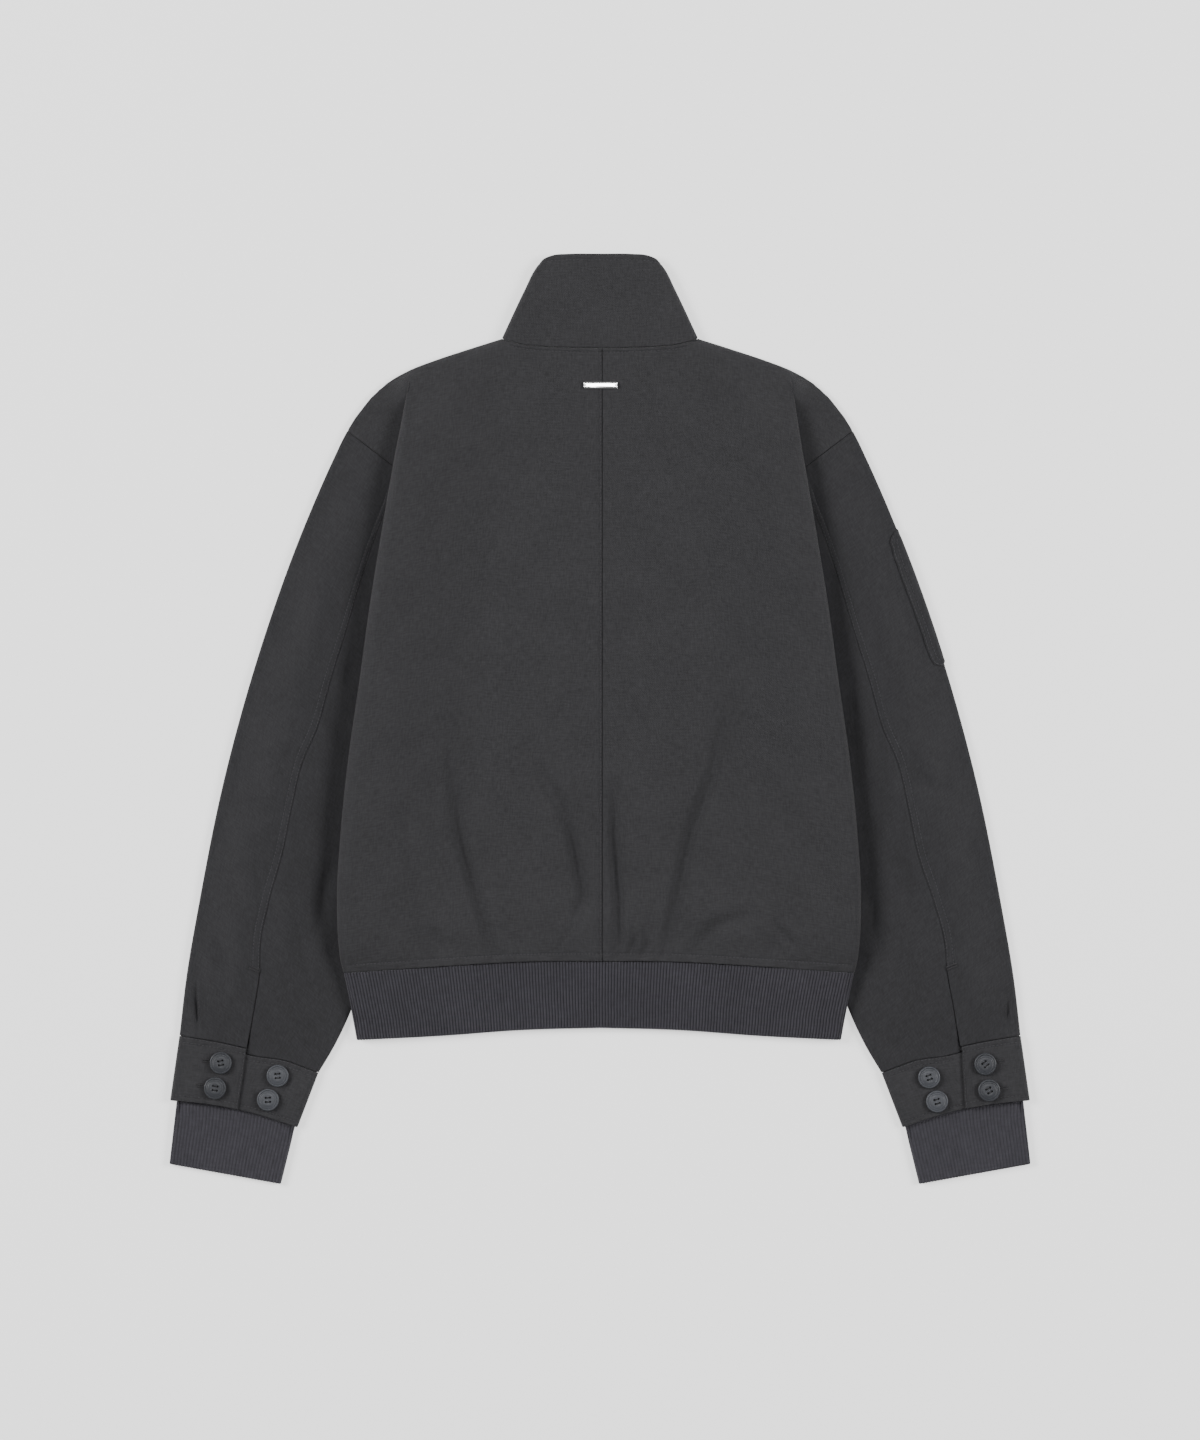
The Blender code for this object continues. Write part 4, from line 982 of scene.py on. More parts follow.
def back_under(side):
    """The cloth under the side edge, in to its seam, and out again at the shoulder."""
    def place(step, rows):
        start = body_edge(rows, side) - edge_radius(rows)
        clear = SEAM_GAP / 2 + 0.8 * ((rows > 40) & (rows < 60))
        seam = side_seam(rows, side) + clear
        shoulder = rows > ARM_CORNER[1]
        folded = rows < FOLD_END
        closing = ease((rows - 264) / 23)
        turn = mix(straight(FOLD_TURN, rows), start - 0.15, closing)
        inner = np.where(shoulder, turn, np.minimum(seam, start - 0.4))
        inner = np.where(folded, inner, start)
        bottom = np.where(folded, fold_bottom(rows), edge_top(rows))
        if step <= 1:
            x = mix(start, inner, step)
            return side * x, above_hem(x, rows), bottom
        top = mix(bottom - (OVER_SLEEVE - SLEEVE_FLAT), edge_top(rows), closing)
        if step == 2:
            x = np.where(shoulder & folded, inner - 0.5, inner)
            y = above_hem(x, rows)
            return side * x, y, np.where(shoulder, (bottom + top) / 2, bottom)
        share = step - 3
        table = np.array(SHOULDER_REACH).T
        reach_x, reach_y = np.interp(rows, table[0], table[1]), np.interp(rows, table[0], table[2])
        x = np.where(shoulder, mix(inner, reach_x, share), inner)
        y = np.where(shoulder, mix(rows, reach_y, share), rows)
        edge_drop = quarter(np.hypot(reach_x - x, reach_y - y) / 7)
        z = mix(top, sleeve_form(x, y, side), ease(share))
        z = np.where(rows > 236, mix(SHOULDER_LIP, z, edge_drop), z)
        z = z - turned_in(np.where(rows <= 236, np.hypot(reach_x - x, reach_y - y), 9), 0.6)
        y = np.where(shoulder, y, above_hem(x, y))
        return side * x, y, np.where(shoulder, z, bottom)
    return place


def build_back(name, side):
    under = (0.33, 0.66, 1, 2) + tuple(3 + finer((0, 0.9, 0.96, 0.985, 1), 0.06))
    columns = [table_of(BACK_COLUMNS, BACK_ROWS, back_flat(side)),
               table_of(ROLL_ANGLES, BACK_ROWS, back_roll(side)),
               table_of(under, BACK_ROWS, back_under(side))]
    points = np.concatenate(columns)
    last_flat = len(BACK_COLUMNS) - 1
    turned_back = last_flat + len(ROLL_ANGLES) + 5
    above = BACK_ROWS > FOLD_END
    points[last_flat + 1:turned_back + 1, above] = points[last_flat, above]
    if side > 0:
        points = with_allowance(points, side < 0, "first column", SHALLOW_STEPS)
    cloth(f"back_panel_{name}", f"back_{name}", points, TWILL, side < 0, TWILL_FINISH)


FRONT_LOW = -218.0
FRONT_ROWS = finer((FRONT_LOW, -217, -216, -205, 40, 60, 212, 247.7, 318.6, 319.4, 321.1, 323.3,
                    326.5), 6.0)
FRONT_COLUMNS = finer((0, .01, .03, .06, .7, .97, 1), 0.022)
FRONT_EDGE = ((60, 150.0), (212, 170.0), (247.7, 217.2), (257, 211.2), (274, 198.6), (283, 190.0),
              (291.5, 178.6), (300, 162.6), (308.7, 140.0), (317.3, 113.8), (326.8, 84.6))
FRONT_NECK = ((318.6, 5.0), (318.8, 24), (319.4, 40), (320, 52), (321.1, 63.6), (323.3, 74),
              (326.8, 84.3))                            # both: y, x


def over_sleeve(x, y):
    """Underside of the body's lower layer: flat, then up over the sleeve's inner fold."""
    fold = follow(SLEEVE_FOLD, y)
    across = ease((x - (fold - 20)) / 12)
    ends = ease((86 - y) / 24) * ease((y + 277) / 26)
    return OVER_SLEEVE * across * ends


def build_front(name, side):
    def place(share, rows):
        clear = SEAM_GAP / 2 + 0.8 * ((rows > 40) & (rows < 60))
        edge = np.where(rows < ARMPIT[1], side_seam(rows, side), straight(FRONT_EDGE, rows))
        start = straight(FRONT_NECK, rows)
        x = mix(start, np.maximum(edge - clear, start), share)
        y = rows + (follow(HEM_SEAM, x) - FRONT_LOW) * np.clip(1 - (rows - FRONT_LOW) / 40, 0, 1)
        dent = 0.35 * (1 + swell(x * side, y, 38, 21)) + 0.5 * groove(x - OPEN_FRONT, 7)
        dent = dent + turned_in(x - OPEN_FRONT, 0.9) + 0.5 * groove(y - follow(HEM_SEAM, x), 6.4)
        return side * x, y - SEAM_GAP * (rows > 318), over_sleeve(x, y) + dent

    points = table_of(FRONT_COLUMNS, FRONT_ROWS, place)
    cloth(f"front_panel_{name}", f"front_{name}", points, TWILL, side > 0, TWILL_FINISH)


def wrapped(half_top, top_of, under_of):
    """Sections of a band that goes round the body, from the zip on the left to that on the right.

    A column is ("under", side, share), ("roll", side, angle) or ("top", share, lift). An inset
    moves it inwards.
    """
    def place(column, rows, inset=0.0):
        kind, first, second = column
        side = first if kind != "top" else (1 if first >= 0 else -1)
        edge = half_top(rows, side)
        top, under = top_of(edge, rows), under_of(edge, rows)
        radius = (top - under) / 2
        if kind == "top":
            x = abs(first) * (edge - radius)
            z = top_of(x, rows) + second - inset
        elif kind == "roll":
            turn = math.radians(second)
            x = edge - radius + (radius - inset) * math.cos(turn)
            z = (top + under) / 2 + (radius - inset) * math.sin(turn)
        else:
            x = mix(OPEN_FRONT, edge - radius, second)
            z = under_of(x, rows) + inset
        return x, side, z
    return place


def band_columns(tops, under_shares, angles):
    left = [("under", -1, share) for share in under_shares]
    left += [("roll", -1, angle) for angle in angles]
    right = [("roll", 1, angle) for angle in reversed(angles)]
    right += [("under", 1, share) for share in reversed(under_shares)]
    return left + tops + right


def ribbed(points, pitch):
    """The band's points spaced evenly round it, and each column's place counted in ribs."""
    round_it = np.pad(np.cumsum(np.linalg.norm(np.diff(points, axis=0), axis=2), axis=0),
                      ((1, 0), (0, 0)))
    ribs = round(float(round_it[-1].max()) / pitch)
    shares = np.linspace(0, 1, ribs * POINTS_A_RIB + 1)
    even = np.empty((len(shares), points.shape[1], 3))
    for row in range(points.shape[1]):
        for axis in range(3):
            even[:, row, axis] = np.interp(shares * round_it[-1, row], round_it[:, row],
                                           points[:, row, axis])
    return even, shares * ribs


HEM_UNDERS = tuple(finer((0, .7, 1), 0.03))
FINE_ANGLES = tuple(range(-78, 90, 12))


def hem_y(x, share):
    return mix(follow(HEM_SEAM, x) - SEAM_GAP, follow(HEM_FOOT, x), share)


def hem_top(x, share):
    rise = ease((x - 130) / 72)
    return mix(HEM_TOP, mix(HEM_SIDE_TOP, HEM_FOOT_TOP, ease(share)), rise)


def build_hem():
    rows = np.array((0, .008, .02, .04, .1, .2, .3, .4, .5, .6, .7, .8, .9, .955, .98, .993, 1))

    def under_of(x, share):
        return over_sleeve(x, hem_y(x, share))

    def half(share, side):
        return body_edge(mix(-218.0, -276.0, share), side)

    shape = wrapped(half, hem_top, under_of)

    def place(column, shares):
        down = shares * HEM_DEPTH
        inset = turned_in(down, 0.5) + turned_in((1 - shares) * HEM_DEPTH, 1.2)
        x, side, z = shape(column, shares, inset)
        if column[0] == "top":
            z = z + 0.9 + 0.25 * swell(x * side, down, 30, 31)
            z = z - 0.4 * np.exp(-down / 6) * (0.5 + 0.5 * swell(x * side, 0 * x, 7, 32))
        return side * x, hem_y(x, shares), z

    tops = [("top", share, 0) for share in np.linspace(-1, 1, 121)]
    points = table_of(band_columns(tops, HEM_UNDERS, FINE_ANGLES), rows, place)
    points, ribs = ribbed(points, HEM_RIB_PITCH)
    points = with_allowance(points, True, "first row", SHALLOW_STEPS)
    cloth("hem_band", "hem_rib", points, RIB_KNIT, True, HEM_RIB_FINISH, ribs=ribs,
          groove_depth=RIB_DEPTH)


def collar_top(x, share):
    """Height of the standing collar's outer side, with its soft unevenness."""
    up = share * COLLAR_HEIGHT
    dent = 0.3 * swell(x, up, 34, 41) + 0.12 * swell(x, up, 12, 42)
    return COLLAR_TOP_Z + dent * ease(share / 0.1) * ease((1 - share) / 0.1)


def collar_place(column, shares):
    kind, first, second = column
    side = first if kind != "top" else (1 if first >= 0 else -1)
    edge = follow(COLLAR_SIDE, shares)
    radius = COLLAR_TOP_Z / 2
    down = (1 - shares) * COLLAR_HEIGHT
    inset = turned_in(shares * COLLAR_HEIGHT, 1.0) + turned_in(down, 1.6)
    inset = inset + 0.35 * groove(down, COLLAR_STITCH, 0.8)
    if kind == "top":
        x = abs(first) * (edge - radius)
        z = collar_top(x * side, shares) - inset
    elif kind == "roll":
        turn = math.radians(second)
        x = edge - radius + (radius - inset) * math.cos(turn)
        z = radius + (radius - inset) * math.sin(turn)
    else:
        x, z = mix(OPEN_FRONT, edge - radius, second), inset
    at = x / edge
    foot = follow(NECK_SEAM, at * COLLAR_SIDE[0][1]) + SEAM_GAP
    y = mix(foot, follow(COLLAR_TOP, at * COLLAR_SIDE[-1][1]), shares)
    return side * x, y, z


def build_collar():
    rows = finer((0, .004, .012, .03, .1, .9, .92, .955, .975, .99, .997, 1), 0.03)
    rows = np.sort(np.concatenate([rows, (.931, .9375, .944)]))
    tops = [("top", share, 0) for share in np.linspace(-1, 1, 71)]
    points = table_of(band_columns(tops, tuple(np.linspace(0, 1, 18)), FINE_ANGLES), rows,
                      collar_place)
    points = with_allowance(points, False, "first row")
    cloth("standing_collar", "collar", points, COLLAR_CLOTH, False, TWILL_FINISH)


# ---------------------------------------------------------------- sleeves

def arm_line(across):
    """The armhole seam, from the armpit to the shoulder's edge."""
    corner = ARM_SEAM[0][1]
    low = line_between(ARMPIT, ARM_CORNER, np.clip(across / corner, 0, 1))
    high = line_between(ARM_CORNER, ARM_TOP, np.clip((across - corner) / (1 - corner), 0, 1))
    return np.where(across < corner, low[0], high[0]), np.where(across < corner, low[1], high[1])


def sleeve_plan(down, across):
    """(x, y) at shares down the sleeve and across it, from its inner fold to its outer one."""
    outer_y = mix(ARM_TOP[1], CUFF_TOP_OUT[1], down)
    inner_y = mix(ARMPIT[1], CUFF_TOP_IN[1], down)
    x = mix(follow(SLEEVE_FOLD, inner_y), sleeve_outer(outer_y), across)
    y = mix(inner_y, outer_y, across)
    arm_x, arm_y = arm_line(across)
    fade = np.clip(1 - down / 0.4, 0, 1) ** 2
    x = x + fade * (arm_x - mix(ARMPIT[0], ARM_TOP[0], across))
    y = y + fade * (arm_y - mix(ARMPIT[1], ARM_TOP[1], across))
    y = y + CUFF_BOW * np.sin(np.pi * across) * ease((down - 0.85) / 0.15)
    return x, y


def sleeve_width(down):
    inner, outer = sleeve_plan(down, np.zeros(np.shape(down))), sleeve_plan(down, 0 * down + 1.0)
    return np.hypot(outer[0] - inner[0], outer[1] - inner[1])


def sleeve_seam(down, side):
    return follow(ARM_SEAM, down) + SEAM_TURN[side] * ease((down - 0.6) / 0.35)


def seam_relief(distance, outer, y, side):
    """Rise of the cloth beside the sleeve's back seam, a slit below the bar tack."""
    slit = ease((VENT_TOP[side] + 3 - y) / 6)
    puckers = 0.15 * swell(y, 0 * y, 5, 51) * np.exp(-distance / 5)
    if outer:
        ridge = 0.25 * ease((SECOND_STITCH + 0.6 - distance) / 1.4)
        rows = 0.35 * groove(distance, EDGE_STITCH, 0.6) + 0.4 * groove(distance, SECOND_STITCH)
        return (puckers + mix(ridge, 0.45 * ease((16 - distance) / 14), slit)
                - rows * (1 - slit) - turned_in(distance, 0.6))
    return puckers - 0.15 * slit * ease((10 - distance) / 8) - turned_in(distance, 0.7)


def sleeve_section(side, lift=0.0):
    """Points round the sleeve: ("outer top", share), ("outer roll", angle), ("inner base", share)
    and so on."""
    radius = SLEEVE_FLAT / 2

    def place(column, down):
        kind = column[0]
        width = sleeve_width(down)
        roll = radius / width
        seam = sleeve_seam(down, side)
        gap = SEAM_GAP / 2 / width
        if kind == "outer top":
            across = mix(seam + gap, 1 - roll, column[1])
        elif kind == "inner top":
            across = mix(roll, seam - gap, column[1])
        elif kind == "outer roll":
            across = 1 - roll + (radius + lift) / width * math.cos(math.radians(column[1]))
        elif kind == "inner roll":
            across = roll - roll * math.cos(math.radians(column[1]))
        elif kind == "corner base":
            across = mix(ARM_SEAM[0][1], 1 - roll, column[1])
        elif kind == "outer base":
            across = FRONT_SEAM + gap
        else:
            across = mix(roll, FRONT_SEAM - gap, column[1])
        x, y = sleeve_plan(down, across)
        if kind == "inner top":
            y = y - UNDERLAP_DIP * ease((across - 0.2) / 0.3) * ease((down - 0.93) / 0.07)
        if "roll" in kind:
            z = radius + (radius + lift) * math.sin(math.radians(column[1]))
        elif "top" in kind:
            z = sleeve_form(x, y, side) + lift
            to_fold = np.minimum(across, 1 - across) * width - radius
            fade = ease(to_fold / 10)
            outer = kind == "outer top"
            z = z + fade * sleeve_relief(x, y, side)
            z = z + seam_relief(np.abs(across - seam) * width, outer, y, side)
            to_cuff, to_arm = (1 - down) * SLEEVE_LENGTH, down * SLEEVE_LENGTH
            at_cuff = (OVERLAP_TOP if outer else UNDERLAP_TOP) - 0.7
            z = mix(z, at_cuff, fade * ease(1 - to_cuff / 18))
            z = z + 0.35 * fade * swell(across * width, 0 * z, 6, 52) * np.exp(-to_cuff / 7)
            z = z - turned_in(to_cuff, 0.8) - turned_in(to_arm, 0.4)
        else:
            z = 0.3 * (1 + swell(x, y, 36, 61)) * ease((across - 1.5 * roll) * width / 8)
            z = z * ease((1 - 1.5 * roll - across) * width / 8)
        return side * x, y, z
    return place


SLEEVE_ROWS = np.concatenate([(0.001, 0.0022, 0.004, 0.007), np.linspace(0.012, 0.985, 132),
                              (0.989, 0.9925, 0.995, 0.997, 0.9985, 0.9993)])
ROUND_ANGLES = tuple(range(75, -90, -15))
SEAM_SIDE = np.array((0, 0.4, 0.8, 1.3, 1.9, 2.6, 3.6, 4.8, 5.8, 6.4, 7.1, 8.2)) / 62


def build_sleeve(name, side):
    beside = np.concatenate([SEAM_SIDE, finer((0.17, 1), 0.022)])
    outer = [("outer top", share) for share in beside]
    outer += [("outer roll", angle) for angle in ROUND_ANGLES]
    outer += [("corner base", share) for share in np.linspace(1, 0, 14)] + [("outer base",)]
    inner = [("inner base", share) for share in np.linspace(1, 0, 10)]
    inner += [("inner roll", angle) for angle in reversed(ROUND_ANGLES)]
    inner += [("inner top", 1 - share) for share in beside[::-1]]
    section = sleeve_section(side)
    for part, label, columns in (("outer", "outside", outer), ("inner", "inside", inner)):
        points = table_of(columns, SLEEVE_ROWS, section)
        points = with_allowance(points, side > 0, "first row", SHALLOW_STEPS)
        points = with_allowance(points, side > 0, "last row", ceiling=3.9)
        if part == "inner":
            points = with_allowance(points, side > 0, "last column")
        # the sleeves get the twill with painted shade
        cloth(f"sleeve_{label}_{name}", f"sleeve_{part}_{name}", points, TWILL, side > 0,
              SLEEVE_SHADED_FINISH)


def build_pocket():
    """A rounded patch on the right sleeve, from its edge on the back round the outer fold."""
    side = 1
    section = sleeve_section(side, POCKET_CLOTH + POCKET_LIFT)
    low, high = POCKET_EDGE[0][0] + 0.0008, POCKET_EDGE[-1][0] - 0.0008
    rows = finer((low, low + .002, low + .006, low + .02, high - .02, high - .006, high - .002,
                  high), 0.004)

    def share_of(across, down):
        seam = sleeve_seam(down, side)
        return (across - seam) / (1 - SLEEVE_FLAT / 2 / sleeve_width(down) - seam)

    edge = np.clip(share_of(follow(POCKET_EDGE, rows), rows), 0, 0.985)
    columns = []
    for share in finer((0, .03, .08, .2, 1), 0.05):
        x, y, z = section(("outer top", mix(edge, 1, share)), rows)
        columns.append(np.stack([x, y, z], axis=-1))
    for angle in ROUND_ANGLES[:8]:
        columns.append(np.stack(np.broadcast_arrays(*section(("outer roll", angle), rows)), axis=-1))
    points = np.array(columns, float)
    to_top = np.cumsum(np.linalg.norm(np.diff(points[-1], axis=0, prepend=points[-1][:1]), axis=1))
    to_end = np.minimum(to_top, to_top[-1] - to_top)
    to_side = np.cumsum(np.linalg.norm(np.diff(points, axis=0, prepend=points[:1]), axis=2), axis=0)
    nearest = np.minimum(to_side, to_end[None, :])
    points = raised(points, True, -turned_in(nearest, 0.8) - 0.2 * groove(nearest, POCKET_STITCH, 0.8))
    # the pocket takes the sleeves' twill with painted shade
    cloth("arm_pocket", "sleeve_pocket", points, POCKET_CLOTH, True, SLEEVE_SHADED_FINISH)


# ---------------------------------------------------------------- cuffs

def cuff_plan(down, across, top, foot):
    """(x, y) on a cuff whose top and foot edges are given by their inner and outer corners."""
    top_x, top_y = line_between(top[0], top[1], across)
    foot_x, foot_y = line_between(foot[0], foot[1], across)
    return mix(top_x, foot_x, down), mix(top_y, foot_y, down) + CUFF_BOW * np.sin(np.pi * across)


def cuff_point(kind, value, down, side):
    """x, y, z on a cuff, and the distance from its overlap's end."""
    end = mix(*OVERLAP_END[side], down)
    outer, inner = CUFF_EDGE_TOP / 2, UNDERLAP_TOP / 2
    dip = 0.0
    if kind == "over":
        across = mix(end, 1 - outer / CUFF_WIDTH, value)
        z = mix(OVERLAP_TOP, CUFF_EDGE_TOP, ease((across - 0.8) / 0.16))
    elif kind == "outer":
        across = 1 - outer / CUFF_WIDTH * (1 - math.cos(math.radians(value)))
        z = outer + outer * math.sin(math.radians(value))
    elif kind == "base":
        across, z = mix(inner / CUFF_WIDTH, 1 - outer / CUFF_WIDTH, value), 0.0
    elif kind == "inner":
        across = inner / CUFF_WIDTH * (1 - math.cos(math.radians(value)))
        z = inner + inner * math.sin(math.radians(value))
    else:
        across = mix(inner / CUFF_WIDTH, end + UNDERLAP_RUN, value)
        z = UNDERLAP_TOP
        dip = UNDERLAP_DIP * ease((across - 0.2) / 0.3) * (1 - down)
    x, y = cuff_plan(down, across, (CUFF_TOP_IN, CUFF_TOP_OUT), (CUFF_FOOT_IN, CUFF_FOOT_OUT))
    return x, y - dip, z, (across - end) * CUFF_WIDTH


def build_cuff(name, side):
    """One strip: from the overlap's end outwards, round under the arm and back beneath itself."""
    rows = finer((0.006, 0.012, 0.022, 0.04, 0.08, 0.92, 0.96, 0.98, 0.992, 1), 0.022)

    def place(column, down):
        x, y, z, _ = cuff_point(*column, down, side)
        return side * x, y, z

    columns = [("over", share) for share in finer((0, .006, .014, .03, .1, 1), 0.025)]
    columns += [("outer", angle) for angle in ROUND_ANGLES]
    columns += [("base", share) for share in np.linspace(1, 0, 20)]
    columns += [("inner", angle) for angle in reversed(ROUND_ANGLES)]
    columns += [("under", share) for share in np.linspace(0, 1, 50)]
    flip = side > 0
    points = table_of(columns, rows, place)
    count = sum(kind == "over" for kind, _ in columns)
    end = np.full((len(columns), len(rows)), 99.0)
    end[:count] = np.array([cuff_point("over", share, rows, side)[3] for _, share in columns[:count]])
    down = np.broadcast_to(rows * CUFF_DEPTH, end.shape)
    top, low = np.array([kind in ("over", "under") for kind, _ in columns])[:, None], points[..., 2]
    up = CUFF_DEPTH - down
    rise = -turned_in(down, 0.6) - turned_in(up, 0.7) - turned_in(end, 0.7)
    rise = rise + 0.3 * top * swell(points[..., 0], points[..., 1], 26, 71)
    sewn = groove(down, CUFF_STITCH, 0.9) + groove(up, CUFF_STITCH, 0.9)
    rise = rise - 0.5 * top * (sewn + groove(end, EDGE_STITCH + 0.2, 0.7))
    rise = np.where((low < 1) & (rise > 0), 0, rise)
    cloth(f"button_cuff_{name}", f"cuff_{name}", raised(points, flip, rise), CUFF_CLOTH, flip,
          TWILL_FINISH)


def build_rib_cuff(name, side):
    rows = np.array((0, .01, .03, .1, .2, .3, .4, .5, .6, .7, .8, .9, .955, .98, .993, 1))
    radius = RIB_CUFF_TOP / 2

    def place(column, down):
        kind, value = column
        inset = turned_in((1 - down) * RIB_CUFF_DEPTH, 1.2)
        if kind == "top":
            across = mix(radius / RIB_CUFF_WIDTH, 1 - radius / RIB_CUFF_WIDTH, value)
            tucked = 2.6 * np.exp(-(down * RIB_CUFF_DEPTH / 11) ** 2)
            z = RIB_CUFF_TOP - inset - tucked
        elif kind == "base":
            across, z = mix(radius / RIB_CUFF_WIDTH, 1 - radius / RIB_CUFF_WIDTH, value), inset
        else:
            turn = math.radians(value)
            out = (radius - inset) * math.cos(turn) / RIB_CUFF_WIDTH
            start = radius / RIB_CUFF_WIDTH
            across = start - out if kind == "inner" else 1 - start + out
            z = radius + (radius - inset) * math.sin(turn)
        x, y = cuff_plan(down, across, (RIB_TOP_IN, RIB_TOP_OUT), (RIB_FOOT_IN, RIB_FOOT_OUT))
        return side * x, y - CUFF_BOW * np.sin(np.pi * across) * down, z

    columns = [("top", share) for share in np.linspace(0, 1, 30)]
    columns += [("outer", angle) for angle in ROUND_ANGLES]
    columns += [("base", share) for share in np.linspace(1, 0, 20)]
    columns += [("inner", angle) for angle in reversed(ROUND_ANGLES)]
    points = table_of(columns + columns[:1], rows, place)
    points, ribs = ribbed(points, CUFF_RIB_PITCH)
    points = with_allowance(points, side > 0, "first row",
                            ((0.6, 0.3), (1.4, 0.8), (2.4, 1.0), (6.0, 1.1)), lowest=RIB_KNIT + 0.4)
    cloth(f"knit_cuff_{name}", f"rib_cuff_{name}", points, RIB_KNIT, side > 0,
          CUFF_RIB_FINISH, ribs=ribs, groove_depth=CUFF_RIB_DEPTH)


# ---------------------------------------------------------------- trim

def turned_mesh(name, profile, steps):
    """A closed turned shape from a profile of (radius, height) with its ends on the axis."""
    bm = bmesh.new()
    corners = [bm.verts.new((px * MM, 0, pz * MM)) for px, pz in profile]
    edges = [bm.edges.new(pair) for pair in zip(corners, corners[1:])]
    bmesh.ops.spin(bm, geom=corners + edges, cent=(0, 0, 0), axis=(0, 0, 1), angle=math.tau,
                   steps=steps, use_merge=True)
    bmesh.ops.remove_doubles(bm, verts=bm.verts, dist=0.005 * MM)
    bmesh.ops.recalc_face_normals(bm, faces=bm.faces)
    return kept_mesh(name, bm)


def drilled(mesh, holes):
    """The mesh with round holes (x, y, radius) bored down through it."""
    body = linked("body", mesh)
    bm = bmesh.new()
    for x, y, radius in holes:
        made = bmesh.ops.create_cone(bm, cap_ends=True, segments=16, radius1=radius * MM,
                                     radius2=radius * MM, depth=20 * MM)
        bmesh.ops.translate(bm, verts=made["verts"], vec=(x * MM, y * MM, 0))
    drill = linked("drill", kept_mesh("drill", bm))
    cut = body.modifiers.new("holes", "BOOLEAN")
    cut.operation, cut.object = "DIFFERENCE", drill
    made = plain_mesh(body)
    discard(body, drill)
    return made


def button_mesh():
    """A four-hole button: a raised rim, a fine ring inside it and a dished middle."""
    r, h = BUTTON_WIDTH / 2, BUTTON_HEIGHT
    profile = ((0, 0), (0.74 * r, 0), (0.9 * r, 0.12 * h), (0.985 * r, 0.38 * h), (r, 0.62 * h),
               (0.99 * r, 0.86 * h), (0.965 * r, 0.97 * h), (0.93 * r, h), (0.87 * r, 0.99 * h),
               (0.845 * r, 0.9 * h), (0.82 * r, 0.8 * h), (0.79 * r, 0.86 * h), (0.7 * r, 0.87 * h),
               (0.67 * r, 0.79 * h), (0.64 * r, 0.84 * h), (0.4 * r, 0.82 * h),
               (0.2 * r, 0.8 * h), (0, 0.8 * h))
    holes = [(sx * HOLES_APART, sy * HOLES_APART, HOLE_RADIUS) for sx in (-1, 1) for sy in (-1, 1)]
    mesh = drilled(turned_mesh("button", profile, 48), holes)
    mesh.shade_smooth()
    mesh.set_sharp_from_angle(angle=math.radians(40))
    return mesh


def tube_along(points, radius):
    """A mesh tube of round section along points in millimetres, closed at both ends."""
    curve = bpy.data.curves.new("tube", "CURVE")
    curve.dimensions = "3D"
    curve.bevel_depth = radius * MM
    curve.bevel_resolution = 1
    curve.use_fill_caps = True
    spline = curve.splines.new("POLY")
    spline.points.add(len(points) - 1)
    for spot, point in zip(spline.points, points):
        spot.co = (*(np.array(point) * MM), 1)
    holder = bpy.data.objects.new("tube", curve)
    bpy.context.scene.collection.objects.link(holder)
    mesh = plain_mesh(holder)
    discard(holder)
    return mesh


def gathered_mesh(name, meshes):
    """One mesh of several, smooth, with their shared points merged."""
    bm = bmesh.new()
    for mesh in meshes:
        bm.from_mesh(mesh)
    bmesh.ops.remove_doubles(bm, verts=bm.verts, dist=0.001 * MM)
    for face in bm.faces:
        face.smooth = True
    return kept_mesh(name, bm)


def placed(mesh, x, y, z, turn=0.0):
    """A copy of a mesh, turned about Z and moved, with its place in its points."""
    made = mesh.copy()
    cos, sin = math.cos(turn), math.sin(turn)
    for vert in made.vertices:
        px, py = vert.co.x, vert.co.y
        vert.co = (cos * px - sin * py + x * MM, sin * px + cos * py + y * MM, vert.co.z + z * MM)
    return made


def build_buttons():
    button, apart = button_mesh(), HOLES_APART
    over = []
    for along in (-1, 1):
        rise = ((-apart, 1.3), (-0.7 * apart, 2.5), (0, 2.7), (0.7 * apart, 2.5), (apart, 1.3))
        for shift in (-0.28, 0.28):
            over.append(tube_along([(px, along * apart + shift, pz) for px, pz in rise], 0.24))
    thread = gathered_mesh("shaded_button_thread", over)
    for number, (side, x, y, seat, turn) in enumerate(BUTTONS, start=1):
        place = (side * x, y, seat + SEAM_GAP, math.radians(turn))
        # underlap buttons get the plastic with painted light, overlap buttons the one with painted
        # shade
        plastic = LIT_BUTTON_FINISH if seat < OVERLAP_TOP else SHADED_BUTTON_FINISH
        fixed(f"cuff_button_{number}", placed(button, *place), plastic,
              node=f"button_{number}")
        # the thread carries the painted shade of the button holes
        fixed(f"button_thread_{number}", placed(thread, *place), TIE_SHADE_FINISH)


